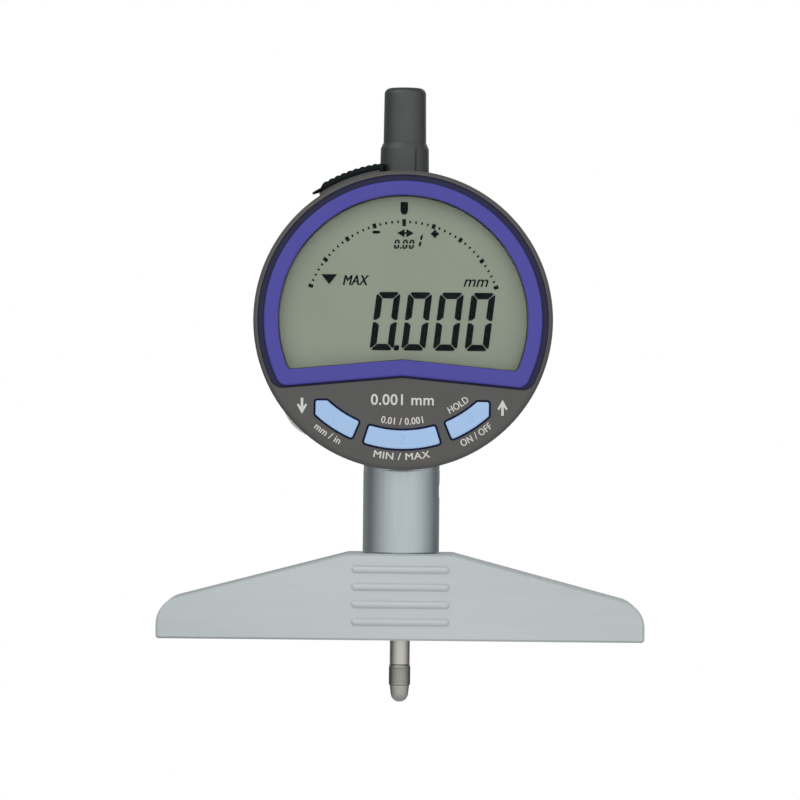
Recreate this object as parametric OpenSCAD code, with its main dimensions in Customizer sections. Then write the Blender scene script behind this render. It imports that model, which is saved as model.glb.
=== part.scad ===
// Digital depth gauge: a round electronic indicator held by its stem in a
// measuring base. Origin: centre of the base's measuring face, on the spindle
// axis. +X is to the reader's right, +Z is up, the display faces -Y.

/* [Base] */
// Length of the measuring base
base_length = 101.6; // [98:0.2:108]
// Depth of the base from front to back
base_depth = 16; // [16:0.1:18]
// Height of the base under the neck
base_height = 18; // [17.5:0.1:19]
// Length of the level top of the base
base_flat = 22; // [20:0.5:26]
// Height at which the slope would meet the end face
base_end_height = 7.5; // [7:0.1:9]
// Radius of the shoulder over each end
shoulder_r = 5.8; // [4:0.1:6]
// Radius of the two foot corners
foot_r = 0.7; // [0.3:0.1:1]
// Number of grip ribs on each face
rib_count = 4; // [3:1:4]
// Length of a grip rib over its round ends
rib_length = 20.6; // [16:0.2:22]
// Distance between neighbouring ribs
rib_pitch = 3.64; // [3.2:0.02:3.8]
// Radius of a rib's round section
rib_r = 0.9; // [0.8:0.05:1]
// Width of the bevel round both faces of the base
base_bevel = 0.4; // [0.2:0.1:0.5]

/* [Neck] */
// Diameter of the neck tube
neck_d = 16; // [15:0.1:16]
// Height of the neck's top end over the measuring face
neck_top = 35.2; // [34.5:0.1:35.2]
// Height of the clamp screw over the measuring face
clamp_z = 31; // [29:0.5:31]
// Nominal diameter of the clamp screw
clamp_d = 3; // [3:0.5:4]

/* [Head] */
// Height of the head's centre over the measuring face
head_z = 66.5; // [66.5:0.1:67]
// Diameter of the case
case_d = 62; // [61.6:0.1:62.4]
// Distance from the spindle axis to the front of the case
case_front = 13.5; // [13.5:0.1:14]
// Distance from the spindle axis to the joint with the rear cover
case_back = 8.5; // [8.5:0.1:9]
// Thickness of the rear cover
cover_t = 2; // [1.8:0.1:2.5]
// Thickness of the case's side wall
wall = 2; // [1.8:0.1:2]
// Thickness of the case's face
face_t = 2.5; // [2.4:0.1:2.6]
// Radius of the edge round the case's face
face_edge_r = 1.2; // [0.8:0.1:1.2]

/* [Display] */
// Outer radius of the coloured frame
frame_r = 28.8; // [28.7:0.05:29]
// Inner radius of the coloured frame
window_r = 25.85; // [25.7:0.05:25.9]
// Radius of the sight opening in the case's face
sight_r = 25.6; // [25:0.05:25.6]
// Width of the dark groove between the frame and the case's rim
groove_w = 1.3; // [0.8:0.05:1.3]
// Width of the gap under the frame's lower edge
sill_gap = 0.45; // [0.3:0.05:0.5]
// Height of the seal that lies in the groove
seal_h = 0.8; // [0.6:0.1:1]
// Drop of the frame's lower edge under the head's centre
frame_drop = 11.5; // [11.3:0.1:11.6]
// Height of the frame's lower bar
frame_bar = 3.3; // [3.2:0.1:3.6]
// Slope of the lower edges, as rise over run
chevron = 0.093; // [0.08:0.001:0.1]
// How far the frame stands out of the case's face
frame_proud = 0.5; // [0.3:0.1:0.7]

/* [Keys] */
// Inner radius of the keys, about the head's centre
key_in_r = 22.8; // [22.6:0.1:22.9]
// Outer radius of the keys
key_out_r = 26.6; // [26.4:0.1:26.6]
// Half angle of the middle key
key_mid_angle = 17.3; // [16:0.1:17.5]
// Angle from straight down where a side key begins
key_side_angle = 22.9; // [22.5:0.1:23.5]
// Half width at which the side keys are cut off
key_cut_x = 17.9; // [17.5:0.1:18]
// Drop at which the side keys are cut off
key_cut_z = 16.75; // [16.5:0.05:17]
// Gap round each key
key_gap = 0.4; // [0.3:0.05:0.4]
// How far the keys stand out of the face
key_proud = 0.45; // [0.3:0.05:0.6]
// Travel of a key
key_travel = 0.5; // [0.4:0.05:0.5]

/* [Spindle] */
// Diameter of the spindle and of its extension rod
spindle_d = 4.2; // [4:0.05:4.2]
// How far the contact point reaches under the measuring face at rest
reach = 13.2; // [12.8:0.1:13.4]
// Stroke of the spindle from rest to its upper stop
stroke = 13.5; // [13.4:0.1:13.6]
// Diameter of the contact point's knurled body
contact_d = 4.5; // [4.3:0.1:4.8]
// Diameter of the top sleeve
sleeve_d = 10.3; // [9.8:0.1:10.3]
// Diameter of the top cap
cap_d = 9; // [8.4:0.1:9]
// Radius of the edge round the cap's top
cap_edge_r = 1.3; // [0.8:0.1:1.5]
// Height of the top cap over the measuring face
cap_top = 115.3; // [115.3:0.1:117]

/* [Output port] */
// Angle of the port on the case's rim
port_angle = 112.4; // [112:0.1:112.6]
// Angle of the rubber cover's hinge
hinge_angle = 101.4; // [101.2:0.1:101.6]
// Angle of the rubber cover's free end
cover_end_angle = 122; // [121.6:0.1:122.4]
// Thickness of the rubber cover between its ribs
flap_t = 1.1; // [0.9:0.05:1.1]
// Number of ribs across the rubber cover
flap_ribs = 8; // [5:1:8]
// How far a rib stands out of the rubber cover
flap_rib_h = 0.2; // [0.1:0.05:0.3]

/* [Battery drawer] */
// Direction in which the drawer slides out
drawer_angle = 224; // [223:0.5:225]
// Width of the drawer
drawer_w = 23; // [22.6:0.1:23.2]
// How far the drawer's lip stands out of the rim
lip_t = 0.85; // [0.6:0.05:0.9]
// Half angle that the lip covers on the rim
lip_half = 7.5; // [6:0.5:8]
// Diameter of the coin cell
cell_d = 20; // [20:0.1:20.2]
// Thickness of the coin cell
cell_t = 3.2; // [2.5:0.1:3.2]

/* [Hidden] */
$fn = 96;
eps = 0.01;
fit = 0.025;            // radial clearance of seats and running fits
case_r = case_d / 2;
bore_r = case_r - wall;
case_len = case_front + case_back;
face_back = case_front - face_t;         // inner side of the case's face
seat_f = case_front - 1.3;               // floor of the recess under the frame
lens_t = 1;
lens_r = window_r + 0.75;
lcd_r = 25.75;
lcd_t = 1.9;
lcd_f = face_back - 0.05;                // front of the display glass
lcd_back = lcd_f - lcd_t;
board_f = 6.6;                           // front of the circuit board
board_t = 1.2;
board_back = board_f - board_t;
board_r = bore_r - 0.5;
boss_places = [[-21.6, -14.7], [21.6, -14.7], [0, 27.3]];
boss_r = 1.5;                            // the bosses that carry the board
contact_top = -5.3;                      // where the rod ends and the contact point begins
rod_top = 14;
sleeve_top = 103.8;
cap_roof = 1.1;
spindle_top = cap_top - cap_roof - stroke - 0.4;
post_place = 26.8;                       // where the rear cover's screws stand
post_r = 2.7;
post_angles = [60, 180, 300];
screw_d = 2;
head_low = head_z - case_r;
head_high = head_z + case_r;
port_r = case_r + 0.8;                   // top of the port's raised pad
flap_low = port_r + 0.03;
flap_r = flap_low + flap_t;
hinge_r = flap_low + flap_t / 2;
root_angle = 99.5;                       // where the port's pad begins
root_end_angle = 97.9;                   // where the cover's rubber root ends, beside the sleeve
flap_rib_r = 0.5;                        // radius of a rib on the rubber cover
tray_front = -3.2;                       // the drawer lies behind the spindle
tray_back = -8.2;
cell_offset = 17;                        // from the head's centre to the cell's
arm_low = -24.6;                         // bottom of the guide frame, from the head's centre
arm_t = 3.6;
arm_high = 23;                           // underside of its upper arm
arm_screw_x = 9;
arm_screws = [arm_low + 1.8, arm_high + 1.5];
carrier_low = -20;
carrier_high = -8;
switch_r = 24.4;
switch_top = board_f + 2.75;
key_angles = [-33.5, 0, 33.5];           // from straight down, left to right

// ---- frames and outlines ------------------------------------------------

// Head frame: local X is right, local Y is up, local Z points at the reader.
module head() translate([0, 0, head_z]) rotate([90, 0, 0]) children();

// A prism between two distances in front of the spindle axis.
module slab(from, to) translate([0, 0, from]) linear_extrude(to - from) children();

// Port frame: local Y points out of the port, local Z points at the reader.
module port() head() rotate([0, 0, port_angle - 90]) children();

// Drawer frame: local X is the way the drawer slides out.
module drawer() head() rotate([0, 0, drawer_angle]) children();

function polar(r, a) = [r * cos(a), r * sin(a)];
function arc(r, a0, a1, n) = [for (i = [0:n]) polar(r, a0 + (a1 - a0) * i / n)];

// The points that round corner b, between neighbours a and c, with radius r.
function corner(a, b, c, r, n = 12) =
    let (u = (a - b) / norm(a - b), v = (c - b) / norm(c - b),
         half = acos(u * v) / 2, m = (u + v) / norm(u + v),
         centre = b + m * r / sin(half),
         from = b + u * r / tan(half) - centre, to = b + v * r / tan(half) - centre,
         a0 = atan2(from[1], from[0]), turn = atan2(to[1], to[0]) - a0,
         sweep = turn > 180 ? turn - 360 : turn < -180 ? turn + 360 : turn)
    [for (i = [0:n]) centre + polar(r, a0 + sweep * i / n)];

// A polygon whose corners are rounded, each with its own radius.
module rounded(points, radii)
    polygon([for (i = [0:len(points) - 1])
        each corner(points[(i + len(points) - 1) % len(points)], points[i],
                    points[(i + 1) % len(points)], radii[i])]);

// The display's D outline: a disc cut off below by two shallow slopes.
module d_outline(r, drop, round_r)
    offset(r = round_r) offset(delta = -round_r) intersection() {
        circle(r);
        polygon([[-2 * r, -drop - 2 * r * chevron], [0, -drop],
                 [2 * r, -drop - 2 * r * chevron], [2 * r, 2 * r], [-2 * r, 2 * r]]);
    }

module frame_outline() d_outline(frame_r, frame_drop, 2.2);
module groove_outline() d_outline(frame_r + groove_w, frame_drop + sill_gap, 2.7);
module window_outline() d_outline(window_r, frame_drop - frame_bar, 1.1);
module sight_outline() d_outline(sight_r, frame_drop - frame_bar - 0.15, 0.9);

// A ring between two radii.
module ring(outer, inner) difference() { circle(outer); circle(inner); }

// A wedge of the face, its angles measured from straight down.
module wedge(a0, a1) polygon(concat([[0, 0]], arc(60, a0 - 90, a1 - 90, 8)));

// The middle key's outline.
module middle_key_outline() offset(r = 0.4) offset(delta = -0.4) intersection() {
    ring(key_out_r, key_in_r);
    wedge(-key_mid_angle, key_mid_angle);
}

// The right key's outline: an arc whose outer end is cut square to the case.
module side_key_outline() offset(r = 0.4) offset(delta = -0.4) intersection() {
    ring(key_out_r, key_in_r);
    wedge(key_side_angle, 80);
    translate([0, -key_cut_z - 60]) square([key_cut_x, 60]);
}

// ---- measuring base -----------------------------------------------------

module base_outline() {
    half = base_length / 2;
    top = base_flat / 2;
    rounded([[-half, 0], [half, 0], [half, base_end_height], [top, base_height],
             [-top, base_height], [-half, base_end_height]],
            [foot_r, foot_r, shoulder_r, 2, 2, shoulder_r]);
}

// A bar with round ends, lying along X.
module round_bar(length, r)
    rotate([0, 90, 0]) rotate_extrude() {
        polygon(concat([[0, -length / 2]],
            [for (i = [1:10]) [r * sin(9 * i), -length / 2 + r - r * cos(9 * i)]],
            [for (i = [10:-1:1]) [r * sin(9 * i), length / 2 - r + r * cos(9 * i)]],
            [[0, length / 2]]));
    }

// The base's block, with a bevel round its front and back faces.
module base_block() hull() for (inset = [0, base_bevel]) {
    depth = base_depth - 2 * (base_bevel - inset);
    translate([0, depth / 2, 0]) rotate([90, 0, 0])
        linear_extrude(depth) offset(delta = -inset) base_outline();
}

module base() color([0.72, 0.75, 0.75]) {
    sunk = 0.4;
    mid = 9.3;
    difference() {
        union() {
            base_block();
            for (side = [-1, 1], i = [0:rib_count - 1])
                translate([0, side * (base_depth / 2 - sunk),
                           mid + (i - (rib_count - 1) / 2) * rib_pitch])
                    round_bar(rib_length, rib_r);
        }
        translate([0, 0, -1]) cylinder(d = 6.4, h = 30);
        translate([0, 0, 8]) cylinder(d = 12, h = 20);
    }
}

// ---- neck and stem ------------------------------------------------------

module neck_tube() color([0.66, 0.70, 0.72]) difference() {
    union() {
        rotate_extrude() polygon([
            [0, base_height], [neck_d / 2 - 0.3, base_height], [neck_d / 2, base_height + 0.3],
            [neck_d / 2, neck_top - 0.15], [neck_d / 2 - 0.15, neck_top], [0, neck_top]]);
        translate([0, 0, 8]) cylinder(r = 6 - fit, h = base_height - 8 + eps);
    }
    translate([0, 0, 7]) cylinder(d = 6.4, h = 40);
    translate([0, 0, 19.5]) cylinder(r = 4 + fit, h = 40);
    translate([0, 0, clamp_z]) rotate([0, 90, 0]) cylinder(d = clamp_d, h = 20);
    translate([neck_d / 2 - 0.25, 0, clamp_z]) rotate([0, 90, 0])
        cylinder(d1 = clamp_d, d2 = clamp_d + 0.6, h = 0.3);
}

module clamp_screw() color([0.55, 0.55, 0.55]) translate([4 + fit, 0, clamp_z])
    rotate([0, 90, 0]) difference() {
        length = neck_d / 2 - 4 - 0.15;
        rotate_extrude() polygon([[0, 0], [clamp_d / 2 - 0.6, 0], [clamp_d / 2 - fit, 0.5],
            [clamp_d / 2 - fit, length - 0.3], [clamp_d / 2 - 0.3, length], [0, length]]);
        translate([0, 0, length - 1.8]) cylinder(d = clamp_d * 0.58, h = 3, $fn = 6);
    }

module stem() color([0.75, 0.77, 0.77]) difference() {
    union() {
        translate([0, 0, 20]) cylinder(d = 8, h = neck_top - 20 + eps);
        difference() {
            translate([0, 0, neck_top]) cylinder(d = neck_d - 0.1, h = 4);
            head() slab(-20, 20) circle(case_r + 0.02);
        }
        translate([0, 0, neck_top]) cylinder(d = 10, h = head_z + arm_low - 0.4 - neck_top);
    }
    translate([0, 0, 19]) cylinder(d = 4.8, h = 40);
    translate([0, 0, 19]) cylinder(r = 3 + fit, h = 6);
}

module bush(outer_r, length)
    difference() {
        cylinder(r = outer_r, h = length);
        translate([0, 0, -1]) cylinder(r = spindle_d / 2 + fit, h = length + 2);
    }

module stem_bush() color([0.72, 0.55, 0.3]) translate([0, 0, 20]) bush(3, 5);
module upper_bush() color([0.72, 0.55, 0.3]) translate([0, 0, head_high - 4.5]) bush(3.2, 3.7);

// ---- case ---------------------------------------------------------------

// Section of the case's shell, from its axis outwards.
module case_section() difference() {
    union() {
        translate([0, -case_back]) square([case_r, case_len - face_edge_r]);
        square([case_r - face_edge_r, case_front]);
        translate([case_r - face_edge_r, case_front - face_edge_r]) circle(face_edge_r);
    }
    translate([-1, -case_back - 1]) square([bore_r + 1, case_len + 1 - face_t]);
}

// Puts its children at each post of the rear cover, in the head frame.
module at_posts() for (a = post_angles) rotate([0, 0, a]) translate([post_place, 0, 0]) children();

// Puts its children at each boss of the circuit board, in the head frame.
module at_bosses() for (p = boss_places) translate(p) children();

// A window for the battery drawer, from its front side back past the case's edge.
module drawer_slot() drawer() translate([20, -drawer_w / 2 - 0.2, -case_back - 1])
    cube([20, drawer_w + 0.4, tray_front + 0.25 + case_back + 1]);

// The raised pad round the output port.
module port_pad() slab(-5.2, 5.2)
    polygon(concat(arc(port_r, root_angle, 124, 24), arc(case_r - 1, 124, root_angle, 24)));

module front_case() color([0.36, 0.35, 0.34]) difference() {
    head() {
        rotate_extrude() case_section();
        port_pad();
        at_posts() translate([0, 0, 0.6 - case_back]) cylinder(r = post_r, h = 13);
        at_bosses() translate([0, 0, board_f]) cylinder(r = boss_r, h = face_back - board_f + 0.5);
    }
    head() {
        slab(seat_f, 20) groove_outline();
        slab(0, 20) {
            sight_outline();
            offset(delta = key_gap) middle_key_outline();
            for (side = [0, 1]) mirror([side, 0]) offset(delta = key_gap) side_key_outline();
        }
        at_posts() translate([0, 0, -case_back]) cylinder(d = screw_d + 2 * fit, h = 9);
        at_bosses() translate([0, 0, board_f - 1]) cylinder(r = 0.8 + fit, h = 4.5);
    }
    translate([0, 0, head_low - 1]) cylinder(r = 5 + fit, h = 5);
    translate([0, 0, head_high - 4]) cylinder(r = 4 + fit, h = 6);
    port() translate([-5, 20, -2.8]) cube([10, 20, 5.6]);
    drawer_slot();
}

module rear_cover() color([0.34, 0.33, 0.32]) head() difference() {
    union() {
        translate([0, 0, -case_back - cover_t]) rotate_extrude() {
            square([case_r - 0.9, cover_t]);
            translate([0, 0.9]) square([case_r, cover_t - 0.9]);
            translate([case_r - 0.9, 0.9]) circle(0.9);
        }
        slab(-case_back - eps, -case_back + 0.5) ring(bore_r - 0.05, bore_r - 1.3);
    }
    slab(-case_back - 0.6, -case_back + eps) ring(case_r - 0.6, case_r - 1.4);
    at_posts() translate([0, 0, -case_back - cover_t - 1]) {
        cylinder(r = 2.2, h = 2);
        cylinder(r = 1.1, h = 20);
    }
    slab(-case_back - cover_t - 1, -case_back - cover_t + 0.4) ring(22.4, 22);
    rotate([0, 0, drawer_angle]) translate([20, -drawer_w / 2 - 0.2, -case_back])
        cube([20, drawer_w + 0.4, 2]);
}

module case_screws() color([0.6, 0.6, 0.6]) head()
    at_posts() translate([0, 0, -case_back - cover_t + 0.1]) difference() {
        rotate_extrude() polygon([[0, 0], [1.7, 0], [2.1, 0.3], [2.1, 0.85], [1, 0.85],
                                  [1, 6.5], [0.6, 7], [0, 7]]);
        for (turn = [0, 90]) rotate([0, 0, turn])
            translate([-1.2, -0.2, -1]) cube([2.4, 0.4, 1.5]);
    }

module case_gasket() color([0.1, 0.1, 0.1]) head()
    slab(-case_back - 0.6, -case_back) ring(case_r - 0.65, case_r - 1.35);

// ---- display ------------------------------------------------------------

module display_frame() color([0.33, 0.29, 0.63]) head() difference() {
    bevel = 0.35;
    minkowski() {
        slab(seat_f, case_front + frame_proud - bevel) offset(delta = -bevel) frame_outline();
        cylinder(r1 = bevel, r2 = 0, h = bevel, $fn = 16);
    }
    slab(seat_f - 1, seat_f + lens_t + 0.05) d_outline(lens_r, frame_drop - frame_bar + 0.75, 1.3);
    slab(seat_f - 1, 20) window_outline();
}

module frame_seal() color([0.1, 0.1, 0.2]) head() slab(seat_f, seat_f + seal_h) difference() {
    offset(delta = -fit) groove_outline();
    offset(delta = fit) frame_outline();
}

module window_lens() color([0.85, 0.9, 0.9, 0.3]) head()
    slab(seat_f, seat_f + lens_t) d_outline(lens_r - 0.05, frame_drop - frame_bar + 0.7, 1.3);

module lcd_glass() color([0.56, 0.61, 0.54]) head()
    slab(lcd_back, lcd_f) d_outline(lcd_r, frame_drop - 2.2, 0.6);

module lcd_holder() color([0.85, 0.85, 0.82]) head() difference() {
    slab(board_f, lcd_f) d_outline(lcd_r + 1.6, frame_drop - 0.8, 1);
    slab(lcd_back - 0.05, 20) d_outline(lcd_r + 0.1, frame_drop - 2.1, 0.6);
    slab(0, 20) d_outline(lcd_r - 2.2, frame_drop - 4.4, 0.6);
    at_bosses() cylinder(r = boss_r + 0.15, h = 20);
    translate([arm_screw_x, arm_screws[1], 0]) cylinder(r = 1.7, h = board_f + 0.9);
}

// Two rubber strips that carry the glass's contacts to the board.
module contact_strips() color([0.15, 0.15, 0.15]) head() {
    translate([-17, -6.4, board_f]) cube([34, 1.8, lcd_back - board_f]);
    translate([-8, 19.4, board_f]) cube([16, 1.6, lcd_back - board_f]);
}

// ---- electronics --------------------------------------------------------

module circuit_board() color([0.1, 0.35, 0.2]) head() difference() {
    slab(board_back, board_f) circle(board_r);
    at_bosses() cylinder(r = 0.85, h = 20);
    for (y = arm_screws) translate([arm_screw_x, y, 0]) cylinder(r = 0.85, h = 20);
}

module board_screws() color([0.7, 0.7, 0.7]) head() at_bosses() {
    translate([0, 0, board_back - 1]) cylinder(r = 1.5, h = 1);
    translate([0, 0, board_back - eps]) cylinder(r = 0.8, h = board_t + 3);
}

module board_chips() color([0.12, 0.12, 0.12]) head() {
    chips = [[12, -6, 7, 7, 1.1], [12, 5, 5, 4, 1.1], [-18, 1, 6, 4, 1.1], [-16, -4.5, 2.5, 4, 1.3]];
    for (c = chips) translate([c[0], c[1], board_back - c[4]]) cube([c[2], c[3], c[4]]);
}

module key_switches() color([0.2, 0.2, 0.2]) head() for (a = key_angles)
    translate(concat(polar(switch_r, a - 90), [board_f])) rotate([0, 0, a]) {
        translate([-1.5, -1.5, 0]) cube([3, 3, 2]);
        cylinder(d = 1.6, h = switch_top - board_f);
    }

module read_head() color([0.15, 0.25, 0.4]) head()
    translate([-6, -3, 4.25]) cube([12, 12, board_back - 4.25]);

module socket_pins() color([0.85, 0.7, 0.3]) port() for (i = [0:5])
    translate([-3.4 + i * 1.25, 27.9, -1.2]) cube([0.5, 2.8, 0.35]);

module output_socket() color([0.12, 0.12, 0.12]) port() difference() {
    translate([-4.95, 26.4, -2.75]) cube([9.9, port_r - 26.8, 5.5]);
    translate([-3.9, 27.9, -1.2]) cube([7.8, 10, 2.4]);
}

// Two sprung strips that carry the board's supply from the coin cell.
module battery_contacts() color([0.8, 0.68, 0.35]) drawer() for (y = [-3.2, 3.2])
    translate([cell_offset - 1, y + 1, 0]) rotate([90, 0, 0]) linear_extrude(2)
        polygon([[0, board_back], [0.3, board_back], [0.3, -1.6], [3.2, -2.9], [3.2, -3.15],
                 [0, -1.9]]);

// ---- guide frame and spring ---------------------------------------------

module guide_frame() color([0.62, 0.62, 0.6]) head() difference() {
    union() {
        translate([7.5, arm_low, -2.8]) cube([3, arm_high + 3 - arm_low, 6.8]);
        for (arm = [[arm_low, arm_t], [arm_high, 3]]) {
            translate([-4.5, arm[0], -2.8]) cube([15, arm[1], 6.8]);
            translate([7.5, arm[0], -2.8]) cube([3, arm[1], board_back + 2.8]);
        }
    }
    rotate([-90, 0, 0]) translate([0, 0, -40]) cylinder(d = 5, h = 80);
    translate([7, carrier_low + 4, -1.05]) cube([5, stroke + 4, 2.1]);
    for (y = arm_screws) translate([arm_screw_x, y, -1.8]) cylinder(r = 0.8, h = 10);
}

module frame_screws() color([0.7, 0.7, 0.7]) head() for (y = arm_screws)
    translate([arm_screw_x, y, 0]) {
        translate([0, 0, -1.2]) cylinder(r = 0.8 - fit, h = board_f + 1.2 + eps);
        translate([0, 0, board_f]) cylinder(r = 1.4, h = 0.7);
    }

module stop_washer() color([0.15, 0.15, 0.15]) translate([0, 0, head_z + arm_low + arm_t])
    difference() {
        cylinder(r = 4, h = carrier_low - arm_low - arm_t - 0.05);
        translate([0, 0, -1]) cylinder(r = 2.5, h = 4);
    }

spring_turns = 10;
spring_wire = 0.5;
spring_r = 2.85;
spring_low = carrier_high + spring_wire / 2 + 0.05;
spring_high = arm_high - spring_wire / 2 - 0.05;
echo(spring_gap = (spring_high - spring_low) / spring_turns - spring_wire);

// Section i of the spring's wire: a ring of six points square to the helix.
function spring_ring(i, n) =
    let (turn = 360 * spring_turns * i / n, z = spring_low + (spring_high - spring_low) * i / n)
    [for (k = [0:5]) let (w = polar(spring_wire / 2, 60 * k))
        [(spring_r + w[0]) * cos(turn), (spring_r + w[0]) * sin(turn), z + w[1]]];

module return_spring() color([0.7, 0.7, 0.72]) translate([0, 0, head_z]) {
    n = spring_turns * 8;
    points = [for (i = [0:n]) each spring_ring(i, n)];
    sides = [for (i = [0:n - 1], k = [0:5], t = [0, 1]) let (a = i * 6 + k, b = i * 6 + (k + 1) % 6)
        t == 0 ? [a, b, a + 6] : [b, b + 6, a + 6]];
    ends = [[5, 4, 3, 2, 1, 0], [for (k = [0:5]) n * 6 + k]];
    polyhedron(points, concat(sides, ends));
}

module drawer_rails() color([0.3, 0.3, 0.3]) drawer() for (side = [-1, 1])
    translate([8, side * (drawer_w / 2 + 0.8) - 0.6, 0.05 - case_back]) cube([16.3, 1.2, 4.4]);

// ---- top sleeve and cap -------------------------------------------------

module top_sleeve() color([0.3, 0.3, 0.3]) difference() {
    union() {
        difference() {
            rotate_extrude() polygon([[0, head_high - 1], [sleeve_d / 2, head_high - 1],
                [sleeve_d / 2 - 0.1, sleeve_top - 1.2], [cap_d / 2, sleeve_top], [0, sleeve_top]]);
            head() slab(-20, 20) circle(case_r + 0.02);
            rotate([0, 0, -64]) translate([sleeve_d / 2 - 0.35, -0.25, head_high - 2])
                cube([2, 0.5, 20]);
        }
        translate([0, 0, head_high - 4.5]) cylinder(r = 4, h = 5);
    }
    translate([0, 0, head_high - 5]) cylinder(r = 3.2 + fit, h = 4.3);
    translate([0, 0, head_high - 2]) cylinder(r = 2.6, h = 20);
    translate([0, 0, sleeve_top - 2.6]) cylinder(r = 3.3 + fit, h = 10);
}

module top_cap() color([0.32, 0.32, 0.32]) difference() {
    union() {
        rotate_extrude() rounded([[0, sleeve_top], [cap_d / 2 - 0.02, sleeve_top],
            [cap_d / 2 - 0.15, cap_top], [0, cap_top]], [0.01, 0.01, cap_edge_r, 0.01]);
        translate([0, 0, sleeve_top - 2.5]) cylinder(r = 3.3, h = 3);
    }
    translate([0, 0, 100]) cylinder(r = 2.7, h = cap_top - cap_roof - 100);
}

// ---- moving spindle -----------------------------------------------------

module spindle() color([0.8, 0.8, 0.8]) difference() {
    translate([0, 0, rod_top]) rotate_extrude() polygon([[0, 0], [spindle_d / 2, 0],
        [spindle_d / 2, spindle_top - rod_top - 0.4],
        [spindle_d / 2 - 0.4, spindle_top - rod_top], [0, spindle_top - rod_top]]);
    translate([0, 0, rod_top - 1]) cylinder(r = 1.25, h = 7);
}

module extension_rod() color([0.78, 0.78, 0.76]) difference() {
    union() {
        translate([0, 0, contact_top]) cylinder(d = spindle_d, h = rod_top - contact_top);
        translate([0, 0, rod_top - eps]) cylinder(r = 1.25 - fit, h = 5);
    }
    translate([0, 0, contact_top - 1]) cylinder(r = 1.25, h = 6.5);
}

module contact_point() color([0.6, 0.6, 0.57]) {
    rotate_extrude() polygon(concat(
        [[0, contact_top], [contact_d / 2 - 0.12, contact_top], [contact_d / 2, contact_top - 0.8],
         [contact_d / 2, -9.4], [contact_d / 2 - 0.3, -9.9], [1.75, -reach + 1.15]],
        [for (a = [50:-10:10]) [2.05 * sin(a) + 0.18, -reach + 2.05 - 2.05 * cos(a)]],
        [[0, -reach]]));
    translate([0, 0, contact_top - eps]) cylinder(r = 1.25 - fit, h = 4.5);
}

module scale_carrier() color([0.55, 0.55, 0.55]) head() difference() {
    translate([-5, carrier_low, -2.8]) cube([10, carrier_high - carrier_low, 6.1]);
    rotate([-90, 0, 0]) translate([0, 0, -40]) cylinder(r = spindle_d / 2 + fit, h = 80);
    translate([0, carrier_low + 6, 0]) rotate([0, 90, 0]) cylinder(r = 1, h = 20);
    translate([-6, carrier_low + 9, 0]) rotate([0, 90, 0]) cylinder(r = 1, h = 6);
}

module carrier_screw() color([0.4, 0.4, 0.4]) head() translate([-5.6, carrier_low + 9, 0])
    rotate([0, 90, 0]) {
        cylinder(r = 1 - fit, h = 5.6 - spindle_d / 2 - fit);
        cylinder(r = 1.8, h = 0.6 - fit);
    }

module linear_scale() color([0.6, 0.7, 0.75]) head()
    translate([-4, carrier_low, 3.3]) cube([8, 28, 0.8]);

module guide_pin() color([0.75, 0.75, 0.75]) head() translate([0, carrier_low + 6, 0])
    rotate([0, 90, 0]) translate([0, 0, spindle_d / 2 + fit])
        cylinder(r = 1 - fit, h = 10.2 - spindle_d / 2);

// ---- keys ---------------------------------------------------------------

// A key: its cap, a flange that keeps it behind the face, and its pusher.
module key(angle) {
    slab(face_back - 1, case_front + key_proud) children();
    slab(face_back - 1, face_back - 0.05) offset(delta = 0.9) children();
    pusher = switch_top + key_travel + 0.05;
    translate(concat(polar(switch_r, angle - 90), [pusher]))
        cylinder(d = 2, h = face_back - 0.5 - pusher);
}

module left_key() color([0.62, 0.75, 0.92]) head() key(key_angles[0])
    mirror([1, 0]) side_key_outline();
module middle_key() color([0.62, 0.75, 0.92]) head() key(key_angles[1]) middle_key_outline();
module right_key() color([0.62, 0.75, 0.92]) head() key(key_angles[2]) side_key_outline();

// ---- output port cover --------------------------------------------------

// A strip round the head's centre, between two radii and two angles.
module band(inner, outer, a0, a1) polygon(concat(arc(outer, a0, a1, 24), arc(inner, a1, a0, 24)));

// One rib of the rubber cover, at an angle.
module flap_rib(angle) translate(polar(flap_r + flap_rib_h - flap_rib_r, angle)) circle(flap_rib_r);

// The cover's root: held on the pad and round the sleeve's foot, and hollow where the flap's
// rounded end turns in it.
module port_cover_root() color([0.06, 0.08, 0.08]) difference() {
    seat = flap_t / 2 + 0.05;
    head() slab(-4.6, 4.6) difference() {
        union() {
            band(port_r, flap_r, root_end_angle, hinge_angle);
            band(case_r + 0.03, flap_r, root_end_angle, root_angle - 0.05);
            flap_rib(hinge_angle - 1.8);
        }
        translate(polar(hinge_r, hinge_angle)) circle(seat);
        rotate(hinge_angle) translate([hinge_r, -seat]) square([5, 5]);
    }
    translate([0, 0, head_high - 2]) cylinder(r = sleeve_d / 2 + 0.03, h = 8);
}

// The thin tab by which the cover is pulled off, from its foot to its tip.
module pull_tab() {
    steps = 8;
    turn = 4.4;
    start = cover_end_angle - 0.5;
    low = [for (i = [0:steps]) polar(port_r + 0.2 + 0.6 * i / steps, start + turn * i / steps)];
    high = [for (i = [steps:-1:0]) polar(port_r + 0.9 + 0.2 * i / steps, start + turn * i / steps)];
    polygon(concat(low, high));
}

module port_cover() color([0.06, 0.08, 0.08]) {
    head() slab(-4.6, 4.6) {
        band(flap_low, flap_r, hinge_angle, cover_end_angle);
        translate(polar(hinge_r, hinge_angle)) circle(flap_t / 2);
        for (i = [0:flap_ribs - 1]) flap_rib(cover_end_angle - 1.2 - i * 2.4);
    }
    head() slab(-3, 3) pull_tab();
    port() translate([-3.5, port_r - 1.8, -0.65]) cube([7, 2.2, 1.6]);
}

// ---- battery drawer -----------------------------------------------------

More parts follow.
